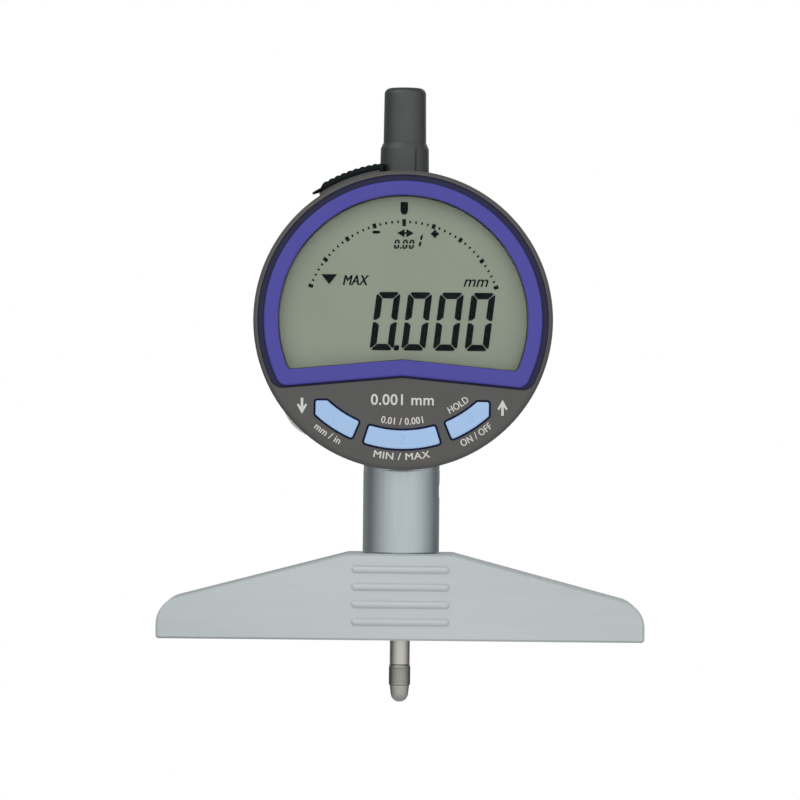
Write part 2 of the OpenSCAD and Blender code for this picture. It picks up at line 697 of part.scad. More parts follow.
// The tongue that holds the lip in the drawer, or its slot when it is grown.
module lip_tongue(grow = 0) translate([case_r - 1.6 - grow, -3 - grow, tray_back + 1.8 - grow])
    cube([2 + grow, 6 + 2 * grow, 1.4 + 2 * grow]);

module battery_drawer() color([0.36, 0.35, 0.34]) drawer() difference() {
    intersection() {
        translate([5.5, -drawer_w / 2, tray_back]) cube([40, drawer_w, tray_front - tray_back]);
        slab(-20, 20) circle(case_r);
    }
    translate([cell_offset, 0, tray_front - cell_t - 0.1]) cylinder(d = cell_d + 0.3, h = 20);
    translate([cell_offset, 0, tray_back - 1]) cylinder(d = 8, h = 20);
    lip_tongue(fit);
}

// A crescent on the rim, to pull the drawer by.
module drawer_lip() color([0.75, 0.75, 0.74]) drawer() {
    outer = case_r + lip_t;
    centre = (outer * outer - case_r * case_r) / (2 * (outer - case_r * cos(lip_half)));
    slab(tray_back + 1, tray_front - 1) difference() {
        translate([centre, 0]) circle(outer - centre);
        circle(case_r);
    }
    lip_tongue();
}

module coin_cell() color([0.75, 0.75, 0.72]) drawer() translate([cell_offset, 0, 0]) {
    slab(tray_front - cell_t - 0.1, tray_front - 0.9) circle(d = cell_d);
    slab(tray_front - 0.9 - eps, tray_front - 0.1) circle(d = cell_d - 2.4);
}

// ---- assembly -----------------------------------------------------------

base();
neck_tube();
clamp_screw();
stem();
stem_bush();
front_case();
rear_cover();
case_screws();
case_gasket();
display_frame();
frame_seal();
window_lens();
lcd_glass();
lcd_holder();
contact_strips();
circuit_board();
board_screws();
board_chips();
key_switches();
read_head();
guide_frame();
frame_screws();
stop_washer();
upper_bush();
top_sleeve();
top_cap();
output_socket();
socket_pins();
battery_contacts();
drawer_rails();
return_spring();
spindle();
extension_rod();
contact_point();
scale_carrier();
carrier_screw();
linear_scale();
guide_pin();
left_key();
middle_key();
right_key();
port_cover_root();
port_cover();
battery_drawer();
drawer_lip();
coin_cell();
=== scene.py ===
"""Looks of a digital depth gauge: finishes, printed marks, display and fine pieces on its CAD frame."""

import logging
import math
from dataclasses import dataclass, field
from enum import Enum
from typing import Iterable, Sequence

import bmesh
import bpy
from mathutils import Matrix, Vector

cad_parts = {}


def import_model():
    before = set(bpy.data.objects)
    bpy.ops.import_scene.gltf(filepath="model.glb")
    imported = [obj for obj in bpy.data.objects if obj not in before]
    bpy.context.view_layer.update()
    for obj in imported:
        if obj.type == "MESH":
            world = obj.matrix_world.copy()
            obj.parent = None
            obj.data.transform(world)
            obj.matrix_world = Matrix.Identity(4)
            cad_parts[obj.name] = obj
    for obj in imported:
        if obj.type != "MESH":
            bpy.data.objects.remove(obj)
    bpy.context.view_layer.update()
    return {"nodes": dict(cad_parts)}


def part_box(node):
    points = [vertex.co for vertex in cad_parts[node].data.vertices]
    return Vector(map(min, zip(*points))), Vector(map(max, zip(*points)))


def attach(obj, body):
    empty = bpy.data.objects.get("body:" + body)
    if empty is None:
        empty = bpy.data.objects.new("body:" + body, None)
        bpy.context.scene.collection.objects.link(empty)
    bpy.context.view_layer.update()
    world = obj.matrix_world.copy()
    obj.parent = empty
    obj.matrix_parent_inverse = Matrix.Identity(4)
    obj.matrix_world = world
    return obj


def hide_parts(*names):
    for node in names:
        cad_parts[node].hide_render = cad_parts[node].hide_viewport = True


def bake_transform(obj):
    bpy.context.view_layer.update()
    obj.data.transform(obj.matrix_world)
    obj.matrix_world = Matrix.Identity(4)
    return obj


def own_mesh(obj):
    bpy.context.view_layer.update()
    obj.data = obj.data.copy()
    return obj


log = logging.getLogger("depth_gauge")

MM = 0.001  # metres in a millimetre: pieces are modelled in millimetres
GAUGE = "gauge_body"
SPINDLE = "measuring_spindle"
FLAP = "cover_flap"
HOLD = 0.12  # width in mm of the flat strip that keeps a rounded edge's shading off the next face
WELD = 1e-5  # points of a mesh that are closer than this in mm are one
CROWN = 0.002  # step in mm between a flat strip's two rims, which can't be bridged in one plane
SCREEN_KNEE, SCREEN_SLOPE, SCREEN_LIFT, SCREEN_POWER = 0.04045, 12.92, 0.055, 2.4  # a screen's own curve
EVEN_TONES, FINE_TONES = (0.35, 0.65), (0.3, 0.7)  # the range that most of a pattern's tone falls in
FLOAT, VECTOR = "NodeSocketFloat", "NodeSocketVector"
WHITE = (1.0, 1.0, 1.0)

Point = tuple[float, float]
Place = tuple[float, float, float]
Colour = tuple[float, float, float]
Socket = bpy.types.NodeSocket
Sockets = bpy.types.bpy_prop_collection
BMesh = bmesh.types.BMesh
Edges = list[bmesh.types.BMEdge]


def srgb(red: int, green: int, blue: int) -> Colour:
    """Turns a colour as a screen shows it into the linear values that a shader takes.

    Args:
        red: Red from 0 to 255.
        green: Green from 0 to 255.
        blue: Blue from 0 to 255.

    Returns:
        The linear red, green and blue, from 0 to 1.
    """
    made = []
    for share in (red / 255, green / 255, blue / 255):
        if share <= SCREEN_KNEE:
            made.append(share / SCREEN_SLOPE)
        else:
            made.append(((share + SCREEN_LIFT) / (1 + SCREEN_LIFT)) ** SCREEN_POWER)
    return tuple(made)


def scaled(colour: Colour, factor: float) -> Colour:
    """Returns the colour made lighter or darker by a factor, up to white."""
    return tuple(min(1.0, value * factor) for value in colour)


# ---- node trees ------------------------------------------------------------


class NodeSheet:
    """A node tree with short calls that add nodes and feed their sockets."""

    def __init__(self, tree: bpy.types.NodeTree) -> None:
        """Keeps the tree.

        Args:
            tree: The tree that the nodes go into.
        """
        self.tree = tree

    @classmethod
    def cleared(cls, owner: bpy.types.Material | bpy.types.World) -> "NodeSheet":
        """Clears the nodes of a material or of the surroundings.

        Args:
            owner: What the nodes belong to.

        Returns:
            The empty sheet.
        """
        owner.use_nodes = True
        owner.node_tree.nodes.clear()
        return cls(owner.node_tree)

    def feed(self, socket: Socket, value: object) -> None:
        """Joins an output socket to an input, or sets the input's own value.

        Args:
            socket: The input.
            value: An output socket, a number, a colour or a vector.
        """
        if isinstance(value, Socket):
            self.tree.links.new(value, socket)
        elif socket.type == "RGBA":
            socket.default_value = (*value, 1.0)
        else:
            socket.default_value = value

    def add(self, kind: str, inputs: dict[str, object] | None = None, **settings: object) -> bpy.types.Node:
        """Adds a node.

        Args:
            kind: The node's type name.
            inputs: What its named inputs take.
            **settings: The node's own properties.

        Returns:
            The new node.
        """
        node = self.tree.nodes.new(kind)
        for name, value in settings.items():
            setattr(node, name, value)
        for name, value in (inputs or {}).items():
            self.feed(node.inputs[name], value)
        return node

    def mix(self, factor: object, first: object, second: object) -> Socket:
        """Blends two colours.

        Args:
            factor: The share of the second, a number or a socket.
            first: The first colour.
            second: The second colour.

        Returns:
            The blended colour's socket.
        """
        node = self.add("ShaderNodeMix", data_type="RGBA")
        colour_inputs = (node.inputs[0], node.inputs[6], node.inputs[7])  # the factor and the two colours
        for socket, value in zip(colour_inputs, (factor, first, second)):
            self.feed(socket, value)
        return node.outputs[2]

    def spread(self, value: object, low: float, high: float, out_low: float, out_high: float) -> Socket:
        """Maps a range of values onto another.

        Args:
            value: What is mapped.
            low: The value that becomes out_low.
            high: The value that becomes out_high.
            out_low: The lower result.
            out_high: The upper result.

        Returns:
            The mapped value's socket, held between the two results.
        """
        limits = {"From Min": low, "From Max": high, "To Min": out_low, "To Max": out_high}
        return self.add("ShaderNodeMapRange", {"Value": value, **limits}).outputs["Result"]

    def maths(self, operation: str, first: object, second: object) -> Socket:
        """Works out a sum or a product.

        Args:
            operation: ADD or MULTIPLY.
            first: The first value.
            second: The second value.

        Returns:
            The result's socket.
        """
        node = self.add("ShaderNodeMath", operation=operation)
        self.feed(node.inputs[0], first)
        self.feed(node.inputs[1], second)
        return node.outputs[0]

    def mean(self, first: object, second: object) -> Socket:
        """Returns the socket of the mean of two values."""
        return self.maths("MULTIPLY", self.maths("ADD", first, second), 0.5)

    def agreement(self, first: object, second: object) -> Socket:
        """Compares two directions of length one.

        Args:
            first: The first direction.
            second: The second direction.

        Returns:
            The socket of their cosine, which is 1 where they agree.
        """
        node = self.add("ShaderNodeVectorMath", operation="DOT_PRODUCT")
        self.feed(node.inputs[0], first)
        self.feed(node.inputs[1], second)
        return node.outputs["Value"]

    def clouds(self, place: object, scale: object, detail: float, distortion: float = 0.0) -> Socket:
        """Adds a pattern of soft clouds.

        Args:
            place: The coordinates that it reads.
            scale: How many clouds there are in a metre.
            detail: How many finer layers it has.
            distortion: How far the clouds are drawn out.

        Returns:
            The pattern's socket, from 0 to 1.
        """
        inputs = {"Vector": place, "Scale": scale, "Detail": detail, "Distortion": distortion}
        return self.add("ShaderNodeTexNoise", inputs).outputs[0]

    def bump(
        self,
        shader: bpy.types.Node,
        strength: float,
        depth: float,
        height: Socket,
        normal: Socket | None = None,
    ) -> None:
        """Gives a shader a fine relief.

        Args:
            shader: The shader.
            strength: The share of the relief that shows.
            depth: Its depth in metres.
            height: The socket of its height.
            normal: The socket of the surface's own direction, or None for the plain one.
        """
        inputs = {"Strength": strength, "Distance": depth, "Height": height}
        if normal is not None:
            inputs["Normal"] = normal
        self.feed(shader.inputs["Normal"], self.add("ShaderNodeBump", inputs).outputs["Normal"])

    def show(self, shader: Socket, output: str = "ShaderNodeOutputMaterial") -> None:
        """Joins a shader to the sheet's output."""
        self.feed(self.add(output).inputs["Surface"], shader)


class Effect(Enum):
    """The surface effects that several finishes share, one node group each."""

    GRAIN = "surface_grain"
    TOOL_MARKS = "tool_marks"
    EDGE_WEAR = "edge_wear"
    HANDLING = "handling_marks"


class EffectKit:
    """Builds each shared effect once and places it in the finishes."""

    def __init__(self) -> None:
        """Builds the four node groups."""
        makers = {
            Effect.GRAIN: self._grain,
            Effect.TOOL_MARKS: self._tool_marks,
            Effect.EDGE_WEAR: self._edge_wear,
            Effect.HANDLING: self._handling,
        }
        self.groups = {effect: make(effect.value) for effect, make in makers.items()}

    @staticmethod
    def _start(
        name: str, inputs: dict[str, str], outputs: dict[str, str]
    ) -> tuple[NodeSheet, Sockets, Sockets]:
        """Starts a group.

        Args:
            name: The group's name.
            inputs: Its inputs' names and socket types.
            outputs: Its outputs' names and socket types.

        Returns:
            The sheet, the group's input sockets and its output node's sockets.
        """
        group = bpy.data.node_groups.new(name, "ShaderNodeTree")
        for in_out, sockets in (("INPUT", inputs), ("OUTPUT", outputs)):
            for socket, kind in sockets.items():
                group.interface.new_socket(name=socket, in_out=in_out, socket_type=kind)
        sheet = NodeSheet(group)
        return sheet, sheet.add("NodeGroupInput").outputs, sheet.add("NodeGroupOutput").inputs

    @classmethod
    def _grain(cls, name: str) -> bpy.types.NodeTree:
        """Fine grain of a moulded or blasted surface, with slow changes of tone.

        Args:
            name: The group's name.

        Returns:
            The group.
        """
        outputs = {"Height": FLOAT, "Tone": FLOAT}
        sheet, given, out = cls._start(name, {"Vector": VECTOR, "Scale": FLOAT}, outputs)
        broad_share, pit_share = 0.06, 0.6
        broad_scale = sheet.maths("MULTIPLY", given["Scale"], broad_share)
        fine = sheet.clouds(given["Vector"], given["Scale"], detail=3.0)
        broad = sheet.clouds(given["Vector"], broad_scale, detail=2.0)
        cells = sheet.add("ShaderNodeTexVoronoi", {"Vector": given["Vector"], "Scale": given["Scale"]})
        pits = sheet.maths("MULTIPLY", cells.outputs["Distance"], pit_share)
        sheet.feed(out["Height"], sheet.maths("ADD", fine, pits))
        sheet.feed(out["Tone"], sheet.mean(fine, broad))
        return sheet.tree

    @classmethod
    def _tool_marks(cls, name: str) -> bpy.types.NodeTree:
        """Fine parallel lines that grinding or turning leaves.

        Args:
            name: The group's name.

        Returns:
            The group.
        """
        outputs = {"Height": FLOAT, "Tone": FLOAT}
        sheet, given, out = cls._start(name, {"Vector": VECTOR, "Density": FLOAT}, outputs)
        slow_share = 0.15
        slow_density = sheet.maths("MULTIPLY", given["Density"], slow_share)
        lines = sheet.clouds(given["Vector"], given["Density"], detail=4.0)
        slow = sheet.clouds(given["Vector"], slow_density, detail=2.0)
        sheet.feed(out["Height"], lines)
        sheet.feed(out["Tone"], sheet.mean(lines, slow))
        return sheet.tree

    @classmethod
    def _edge_wear(cls, name: str) -> bpy.types.NodeTree:
        """Edges that are softened by use, and a broken mask of where they are rubbed.

        Args:
            name: The group's name.

        Returns:
            The group.
        """
        inputs = {"Vector": VECTOR, "Radius": FLOAT, "Amount": FLOAT}
        sheet, given, out = cls._start(name, inputs, {"Mask": FLOAT, "Normal": VECTOR})
        flat, sharp = 0.99, 0.85  # how far the softened direction agrees with the true one
        patches_per_metre, bare, full = 900.0, 0.4, 0.65
        soft = sheet.add("ShaderNodeBevel", {"Radius": given["Radius"]}, samples=4).outputs["Normal"]
        true_normal = sheet.add("ShaderNodeNewGeometry").outputs["Normal"]
        edge = sheet.spread(sheet.agreement(soft, true_normal), flat, sharp, 0.0, 1.0)
        patches = sheet.clouds(given["Vector"], patches_per_metre, detail=3.0)
        rubbed = sheet.maths("MULTIPLY", edge, sheet.spread(patches, bare, full, 0.0, 1.0))
        sheet.feed(out["Mask"], sheet.maths("MULTIPLY", rubbed, given["Amount"]))
        sheet.feed(out["Normal"], soft)
        return sheet.tree

    @classmethod
    def _handling(cls, name: str) -> bpy.types.NodeTree:
        """Soft patches where hands have dulled or polished a surface.

        Args:
            name: The group's name.

        Returns:
            The group.
        """
        sheet, given, out = cls._start(name, {"Vector": VECTOR, "Scale": FLOAT}, {"Mask": FLOAT})
        clean, touched = 0.35, 0.7
        cloud = sheet.clouds(given["Vector"], given["Scale"], detail=3.0, distortion=0.6)
        sheet.feed(out["Mask"], sheet.spread(cloud, clean, touched, 0.0, 1.0))
        return sheet.tree

    def place(self, sheet: NodeSheet, effect: Effect, **inputs: object) -> Sockets:
        """Places an effect in a finish.

        Args:
            sheet: The finish's sheet.
            effect: Which effect.
            **inputs: The effect's values.

        Returns:
            The effect's outputs.
        """
        return sheet.add("ShaderNodeGroup", inputs, node_tree=self.groups[effect]).outputs


# ---- finishes --------------------------------------------------------------


class Marks(Enum):
    """Which way tool marks run, as the stretch of the pattern along X, Y and Z."""

    ALONG_X = (0.02, 1.0, 1.0)
    ALONG_Z = (1.0, 1.0, 0.02)
    ROUND_Z = (0.03, 0.03, 1.0)
    NONE = (1.0, 1.0, 1.0)


@dataclass(frozen=True)
class Finish:
    """What every finish has: the material slot that it stands for, its colour and its roughness."""

    slot: str
    colour: Colour
    roughness: float

    def start(self) -> tuple[bpy.types.Material, NodeSheet, Socket]:
        """Starts the material.

        Returns:
            The material, its sheet and its Object coordinates.
        """
        material = bpy.data.materials.new(f"{self.slot}_finish")
        sheet = NodeSheet.cleared(material)
        return material, sheet, sheet.add("ShaderNodeTexCoord").outputs["Object"]

    def shader(self, sheet: NodeSheet, **settings: float) -> bpy.types.Node:
        """Adds the main shader and shows it.

        Args:
            sheet: The material's sheet.
            **settings: Values of the shader's own sockets, with an underscore for each space.

        Returns:
            The shader.
        """
        looks = {"Base Color": self.colour, "Roughness": self.roughness}
        shader = sheet.add("ShaderNodeBsdfPrincipled", looks)
        for name, value in settings.items():
            sheet.feed(shader.inputs[name.replace("_", " ")], value)
        sheet.show(shader.outputs["BSDF"])
        return shader

    def build(self, kit: EffectKit) -> bpy.types.Material:
        """Builds the material.

        Args:
            kit: The shared effects.

        Returns:
            The material.
        """
        raise NotImplementedError


@dataclass(frozen=True)
class UsedSurface(Finish):
    """A finely patterned surface with rubbed edges and handling marks. Sizes are in metres."""

    contrast: float
    depth: float
    wear: float
    rubbed_tone: float
    patches: float
    edge: float = 0.00012
    relief: float = 0.5
    metallic: float = 0.0
    shine: float = 0.5
    coat: float = 0.0
    coat_roughness: float = 0.25
    polished: float = 0.05
    dulled: float = 0.05

    @property
    def tones(self) -> Point:
        """The pattern's darkest and palest tone, as shares of the colour."""
        return 1 - self.contrast, 1 + self.contrast

    def pattern(self, kit: EffectKit, sheet: NodeSheet, place: Socket) -> Sockets:
        """Adds the fine pattern.

        Args:
            kit: The shared effects.
            sheet: The material's sheet.
            place: The Object coordinates.

        Returns:
            The pattern's Height and Tone.
        """
        raise NotImplementedError

    def build(self, kit: EffectKit) -> bpy.types.Material:
        """Builds the material.

        Args:
            kit: The shared effects.

        Returns:
            The material.
        """
        material, sheet, place = self.start()
        shader = self.shader(
            sheet,
            Metallic=self.metallic,
            Specular_IOR_Level=self.shine,
            Coat_Weight=self.coat,
            Coat_Roughness=self.coat_roughness,
        )
        pattern = self.pattern(kit, sheet, place)
        worn = kit.place(sheet, Effect.EDGE_WEAR, Vector=place, Radius=self.edge, Amount=self.wear)
        hands = kit.place(sheet, Effect.HANDLING, Vector=place, Scale=self.patches)
        dark, pale = (scaled(self.colour, tone) for tone in self.tones)
        skin = sheet.mix(sheet.spread(pattern["Tone"], *EVEN_TONES, 0.0, 1.0), dark, pale)
        rubbed = scaled(self.colour, self.rubbed_tone)
        sheet.feed(shader.inputs["Base Color"], sheet.mix(worn["Mask"], skin, rubbed))
        smooth, dull = self.roughness - self.polished, self.roughness + self.dulled
        sheet.feed(shader.inputs["Roughness"], sheet.spread(hands["Mask"], 0.0, 1.0, smooth, dull))
        sheet.bump(shader, self.relief, self.depth, pattern["Height"], worn["Normal"])
        return material


@dataclass(frozen=True)
class MouldedPlastic(UsedSurface):
    """Moulded plastic with a fine spark-eroded grain and edges that shine a little from use."""

    grain: float = 2600.0
    contrast: float = 0.12
    depth: float = 0.000012
    relief: float = 0.6
    shine: float = 0.3
    wear: float = 0.35
    rubbed_tone: float = 1.7
    patches: float = 60.0

    @property
    def tones(self) -> Point:
        """The grain's darkest and palest tone: both are above the colour, which is that of its pits."""
        return 1 + self.contrast / 2, 1 + self.contrast * 1.5

    def pattern(self, kit: EffectKit, sheet: NodeSheet, place: Socket) -> Sockets:
        """Adds the grain. Its Args and Returns are those of a used surface."""
        return kit.place(sheet, Effect.GRAIN, Vector=place, Scale=self.grain)


@dataclass(frozen=True)
class WorkedMetal(UsedSurface):
    """Ground, turned or plated metal with the marks of its last cut."""

    marks: Marks = Marks.ALONG_X
    density: float = 9000.0
    contrast: float = 0.08
    depth: float = 0.000004
    metallic: float = 1.0
    wear: float = 0.5
    rubbed_tone: float = 1.25
    patches: float = 45.0
    polished: float = 0.04

    def pattern(self, kit: EffectKit, sheet: NodeSheet, place: Socket) -> Sockets:
        """Adds the tool marks. Its Args and Returns are those of a used surface."""
        run = sheet.add("ShaderNodeMapping", {"Vector": place, "Scale": self.marks.value}).outputs["Vector"]
        return kit.place(sheet, Effect.TOOL_MARKS, Vector=run, Density=self.density)


@dataclass(frozen=True)
class DisplayPanel(Finish):
    """The display's reflective panel: a flat tone with slow clouds, under a satin polariser."""

    clouds: float = 70.0
    cloud_contrast: float = 0.035
    grain: float = 5200.0
    glint: Colour = srgb(150, 160, 170)
    least_glint: float = 0.04
    most_glint: float = 0.12
    relief: float = 0.2
    depth: float = 0.000004

    def build(self, kit: EffectKit) -> bpy.types.Material:
        """Builds the material.

        Args:
            kit: The shared effects.

        Returns:
            The material.
        """
        material, sheet, place = self.start()
        shader = self.shader(sheet)
        cloud = kit.place(sheet, Effect.HANDLING, Vector=place, Scale=self.clouds)
        grain = kit.place(sheet, Effect.GRAIN, Vector=place, Scale=self.grain)
        dark = scaled(self.colour, 1 - self.cloud_contrast)
        pale = scaled(self.colour, 1 + self.cloud_contrast)
        share = sheet.spread(grain["Tone"], *FINE_TONES, self.least_glint, self.most_glint)
        panel = sheet.mix(share, sheet.mix(cloud["Mask"], dark, pale), self.glint)
        sheet.feed(shader.inputs["Base Color"], panel)
        sheet.bump(shader, self.relief, self.depth, grain["Height"])
        return material


@dataclass(frozen=True)
class ClearWindow(Finish):
    """A clear window: what is behind it shows, with a reflection that grows towards the edge of view."""

    smears: float = 40.0
    smeared: float = 0.05
    index: float = 1.1

    def build(self, kit: EffectKit) -> bpy.types.Material:
        """Builds the material.

        Args:
            kit: The shared effects.

        Returns:
            The material.
        """
        material, sheet, place = self.start()
        clear = sheet.add("ShaderNodeBsdfTransparent", {"Color": self.colour})
        hands = kit.place(sheet, Effect.HANDLING, Vector=place, Scale=self.smears)
        smear = sheet.spread(hands["Mask"], 0.0, 1.0, self.roughness, self.roughness + self.smeared)
        gloss = sheet.add("ShaderNodeBsdfGlossy", {"Roughness": smear})
        share = sheet.add("ShaderNodeFresnel", {"IOR": self.index})
        both = sheet.add("ShaderNodeMixShader")
        for socket, node in zip(both.inputs, (share, clear, gloss)):
            sheet.feed(socket, node.outputs[0])
        sheet.show(both.outputs[0])
        return material


@dataclass(frozen=True)
class Ink(Finish):
    """Printed or switched-on marks: a thin opaque film with a faintly uneven tone."""

    shine: float = 0.3
    grain: float = 4200.0
    palest: float = 1.12

    def build(self, kit: EffectKit) -> bpy.types.Material:
        """Builds the material.

        Args:
            kit: The shared effects.

        Returns:
            The material.
        """
        material, sheet, place = self.start()
        shader = self.shader(sheet, Specular_IOR_Level=self.shine)
        grain = kit.place(sheet, Effect.GRAIN, Vector=place, Scale=self.grain)
        tone = sheet.spread(grain["Tone"], *FINE_TONES, 0.0, 1.0)
        film = sheet.mix(tone, self.colour, scaled(self.colour, self.palest))
        sheet.feed(shader.inputs["Base Color"], film)
        return material


FINISHES: tuple[Finish, ...] = (
    WorkedMetal(
        "base_steel", srgb(190, 197, 198), 0.55, density=5000, metallic=0.35, contrast=0.03, wear=0.3
    ),
    WorkedMetal(
        "neck_steel",
        srgb(178, 188, 192),
        0.27,
        marks=Marks.ALONG_Z,
        density=2500,
        metallic=0.85,
        contrast=0.04,
        wear=0.0,
        edge=0.00002,
    ),
    WorkedMetal("ground_steel", srgb(196, 193, 187), 0.2, marks=Marks.ROUND_Z, density=7000, contrast=0.05),
    # the grip's steel is darker than the nose's, which is painted shade for its fine knurl; both are one
    # steel
    WorkedMetal("contact_steel", srgb(152, 155, 145), 0.32, marks=Marks.ROUND_Z, density=7000, wear=0.8),
    WorkedMetal("nose_steel", srgb(198, 198, 190), 0.22, marks=Marks.ROUND_Z, density=7000, contrast=0.05),
    WorkedMetal("lip_steel", srgb(215, 220, 215), 0.35, density=7000, wear=0.3),
    WorkedMetal("screw_steel", srgb(150, 150, 152), 0.35, marks=Marks.NONE),
    MouldedPlastic("case_plastic", srgb(79, 78, 77), 0.5),
    MouldedPlastic(
        "frame_plastic",
        srgb(72, 69, 152),
        0.42,
        grain=3200,
        depth=0.000006,
        contrast=0.05,
        wear=0.15,
        shine=0.25,
    ),
    # the dark navy seal in the groove round the display frame is painted shade: it stands for the shadow in
    # that groove
    MouldedPlastic("seal_rubber", srgb(38, 38, 68), 0.65, grain=3000, depth=0.00001, wear=0.0),
    ClearWindow("lens_clear", (0.985, 0.99, 0.985), 0.03),
    DisplayPanel("lcd_panel", srgb(149, 157, 138), 0.5),
    MouldedPlastic("key_blue", srgb(160, 190, 226), 0.5, grain=3600, depth=0.000008, contrast=0.05, wear=0.1),
    # the keys' skirt is a real flange, but its dark navy colour is painted shade that shows through the gap
    # round each cap
    MouldedPlastic("key_skirt_painted_shade", srgb(70, 78, 160), 0.55, grain=3600, depth=0.000008, wear=0.0),
    MouldedPlastic(
        "black_rubber",
        srgb(14, 22, 25),
        0.62,
        grain=3000,
        depth=0.00002,
        contrast=0.25,
        wear=0.25,
        shine=0.15,
    ),
    MouldedPlastic("cap_metal", srgb(76, 78, 78), 0.42, grain=4200, depth=0.000005, metallic=0.7, wear=0.3),
    MouldedPlastic("inner_white", srgb(222, 221, 214), 0.5, wear=0.0),
    MouldedPlastic("inner_black", srgb(32, 33, 34), 0.45, wear=0.1),
    MouldedPlastic("board_green", srgb(28, 92, 52), 0.4, contrast=0.3, wear=0.1, coat=0.5),
    WorkedMetal("spring_metal", srgb(205, 205, 208), 0.25, marks=Marks.NONE),
    WorkedMetal("bush_brass", srgb(200, 165, 95), 0.3, marks=Marks.ROUND_Z),
    WorkedMetal("contact_brass", srgb(225, 185, 90), 0.25, marks=Marks.NONE),
    WorkedMetal("scale_glass", srgb(180, 198, 210), 0.12, density=12000, contrast=0.3),
    WorkedMetal("frame_alloy", srgb(196, 196, 192), 0.4, marks=Marks.ALONG_Z),
    WorkedMetal("cell_steel", srgb(212, 212, 206), 0.3, marks=Marks.NONE),
    Ink("display_ink", srgb(12, 18, 21), 0.6, shine=0.05),
    Ink("face_ink", srgb(203, 201, 196), 0.6),
    Ink("key_ink", srgb(150, 184, 228), 0.55),
)


class Palette:
    """The materials of all finishes, by the slot, piece or ink that each stands for."""

    def __init__(self) -> None:
        """Builds the shared effects and every finish."""
        kit = EffectKit()
        self.materials = {finish.slot: finish.build(kit) for finish in FINISHES}

    def dress(self, nodes: dict[str, bpy.types.Object]) -> None:
        """Gives every CAD node the finish of its material slot.

        Args:
            nodes: The CAD nodes by name.
        """
        for name, node in nodes.items():
            for holder in node.material_slots:
                holder.material = self.materials[holder.material.name]
            log.info("dressed node %s", name)


# ---- outlines and meshes ---------------------------------------------------


def polar(radius: float, degrees: float) -> Point:
    """Returns the point at a radius and an angle, counted from the right."""
    angle = math.radians(degrees)
    return radius * math.cos(angle), radius * math.sin(angle)


def arc(radius: float, start: float, end: float, steps: int, centre: Point = (0.0, 0.0)) -> list[Point]:
    """Points along an arc.

    Args:
        radius: The arc's radius.
        start: Its first angle, in degrees.
        end: Its last angle, in degrees.
        steps: How many steps it has.
        centre: The arc's centre.

    Returns:
        One point more than steps.
    """
    turns = [start + (end - start) * i / steps for i in range(steps + 1)]
    return [(centre[0] + x, centre[1] + y) for x, y in (polar(radius, turn) for turn in turns)]


def rounded(outline: Sequence[Point], radius: float, steps: int = 8, least: float = 25.0) -> list[Point]:
    """Rounds the sharp corners of a closed outline.

    Args:
        outline: The outline's points, counter-clockwise.
        radius: The radius of the corners.
        steps: How many steps each corner has.
        least: Corners that turn by fewer degrees stay as they are.

    Returns:
        The points of the rounded outline.
    """
    made: list[Point] = []
    for index, here in enumerate(outline):
        point = Vector(here)
        back = (Vector(outline[index - 1]) - point).normalized()
        ahead = (Vector(outline[(index + 1) % len(outline)]) - point).normalized()
        turn = math.pi - back.angle(ahead)
        if turn < math.radians(least):
            made.append(here)
            continue
        centre = point + (back + ahead).normalized() * radius / math.cos(turn / 2)
        spoke = point + back * radius * math.tan(turn / 2) - centre
        way = math.copysign(turn, ahead.cross(back))
        made += [tuple(centre + Matrix.Rotation(way * step / steps, 2) @ spoke) for step in range(steps + 1)]
    return made


def quarter(radius: float, steps: int = 5) -> list[Point]:
    """Returns how far in and how far up each step of a rounded edge is, from its foot to its top."""
    turns = [math.pi / 2 * step / steps for step in range(steps + 1)]
    return [(radius * (1 - math.cos(turn)), radius * math.sin(turn)) for turn in turns]


@dataclass(frozen=True)
class DOutline:
    """A disc cut off below by two shallow slopes, with rounded corners. All sizes are in millimetres."""

    radius: float
    drop: float
    corner: float
    chevron: float = 0.093
    corner_steps: int = 8
    arc_steps: int = 120

    def points(self, margin: float = 0.0) -> list[Point]:
        """The outline's points, counter-clockwise from the middle of its lower edge.

        Args:
            margin: How far the outline grows.

        Returns:
            The points. Every outline of this kind has the same number of them.
        """
        across = math.hypot(1.0, self.chevron)
        radius, drop, corner = self.radius + margin, self.drop + margin * across, self.corner + margin
        normal = (self.chevron / across, 1.0 / across)
        along = (1.0 / across, -self.chevron / across)
        foot = (corner * normal[0], corner * normal[1] - drop)
        mid = foot[0] * along[0] + foot[1] * along[1]
        reach = (radius - corner) ** 2 - foot[0] ** 2 - foot[1] ** 2
        slide = -mid + math.sqrt(mid * mid + reach)
        centre = (foot[0] + slide * along[0], foot[1] + slide * along[1])
        low = math.degrees(math.atan2(-normal[1], -normal[0]))
        high = math.degrees(math.atan2(centre[1], centre[0]))
        right = arc(corner, low, high, self.corner_steps, centre)
        over = arc(radius, high, 180.0 - high, self.arc_steps)[1:-1]
        left = [(-x, y) for x, y in reversed(right)]
        return [(0.0, -drop), *right, *over, *left]


def ring(bm: BMesh, places: Iterable[Sequence[float]]) -> Edges:
    """Adds a closed ring of edges through places in space.

    Args:
        bm: The mesh.
        places: The ring's places, in order.

    Returns:
        The ring's edges.
    """
    verts = [bm.verts.new(place) for place in places]
    return [bm.edges.new((verts[i - 1], vert)) for i, vert in enumerate(verts)]


def loop(bm: BMesh, points: Iterable[Point], height: float) -> Edges:
    """Adds a closed ring of edges at one height, and returns its edges."""
    return ring(bm, [(x, y, height) for x, y in points])


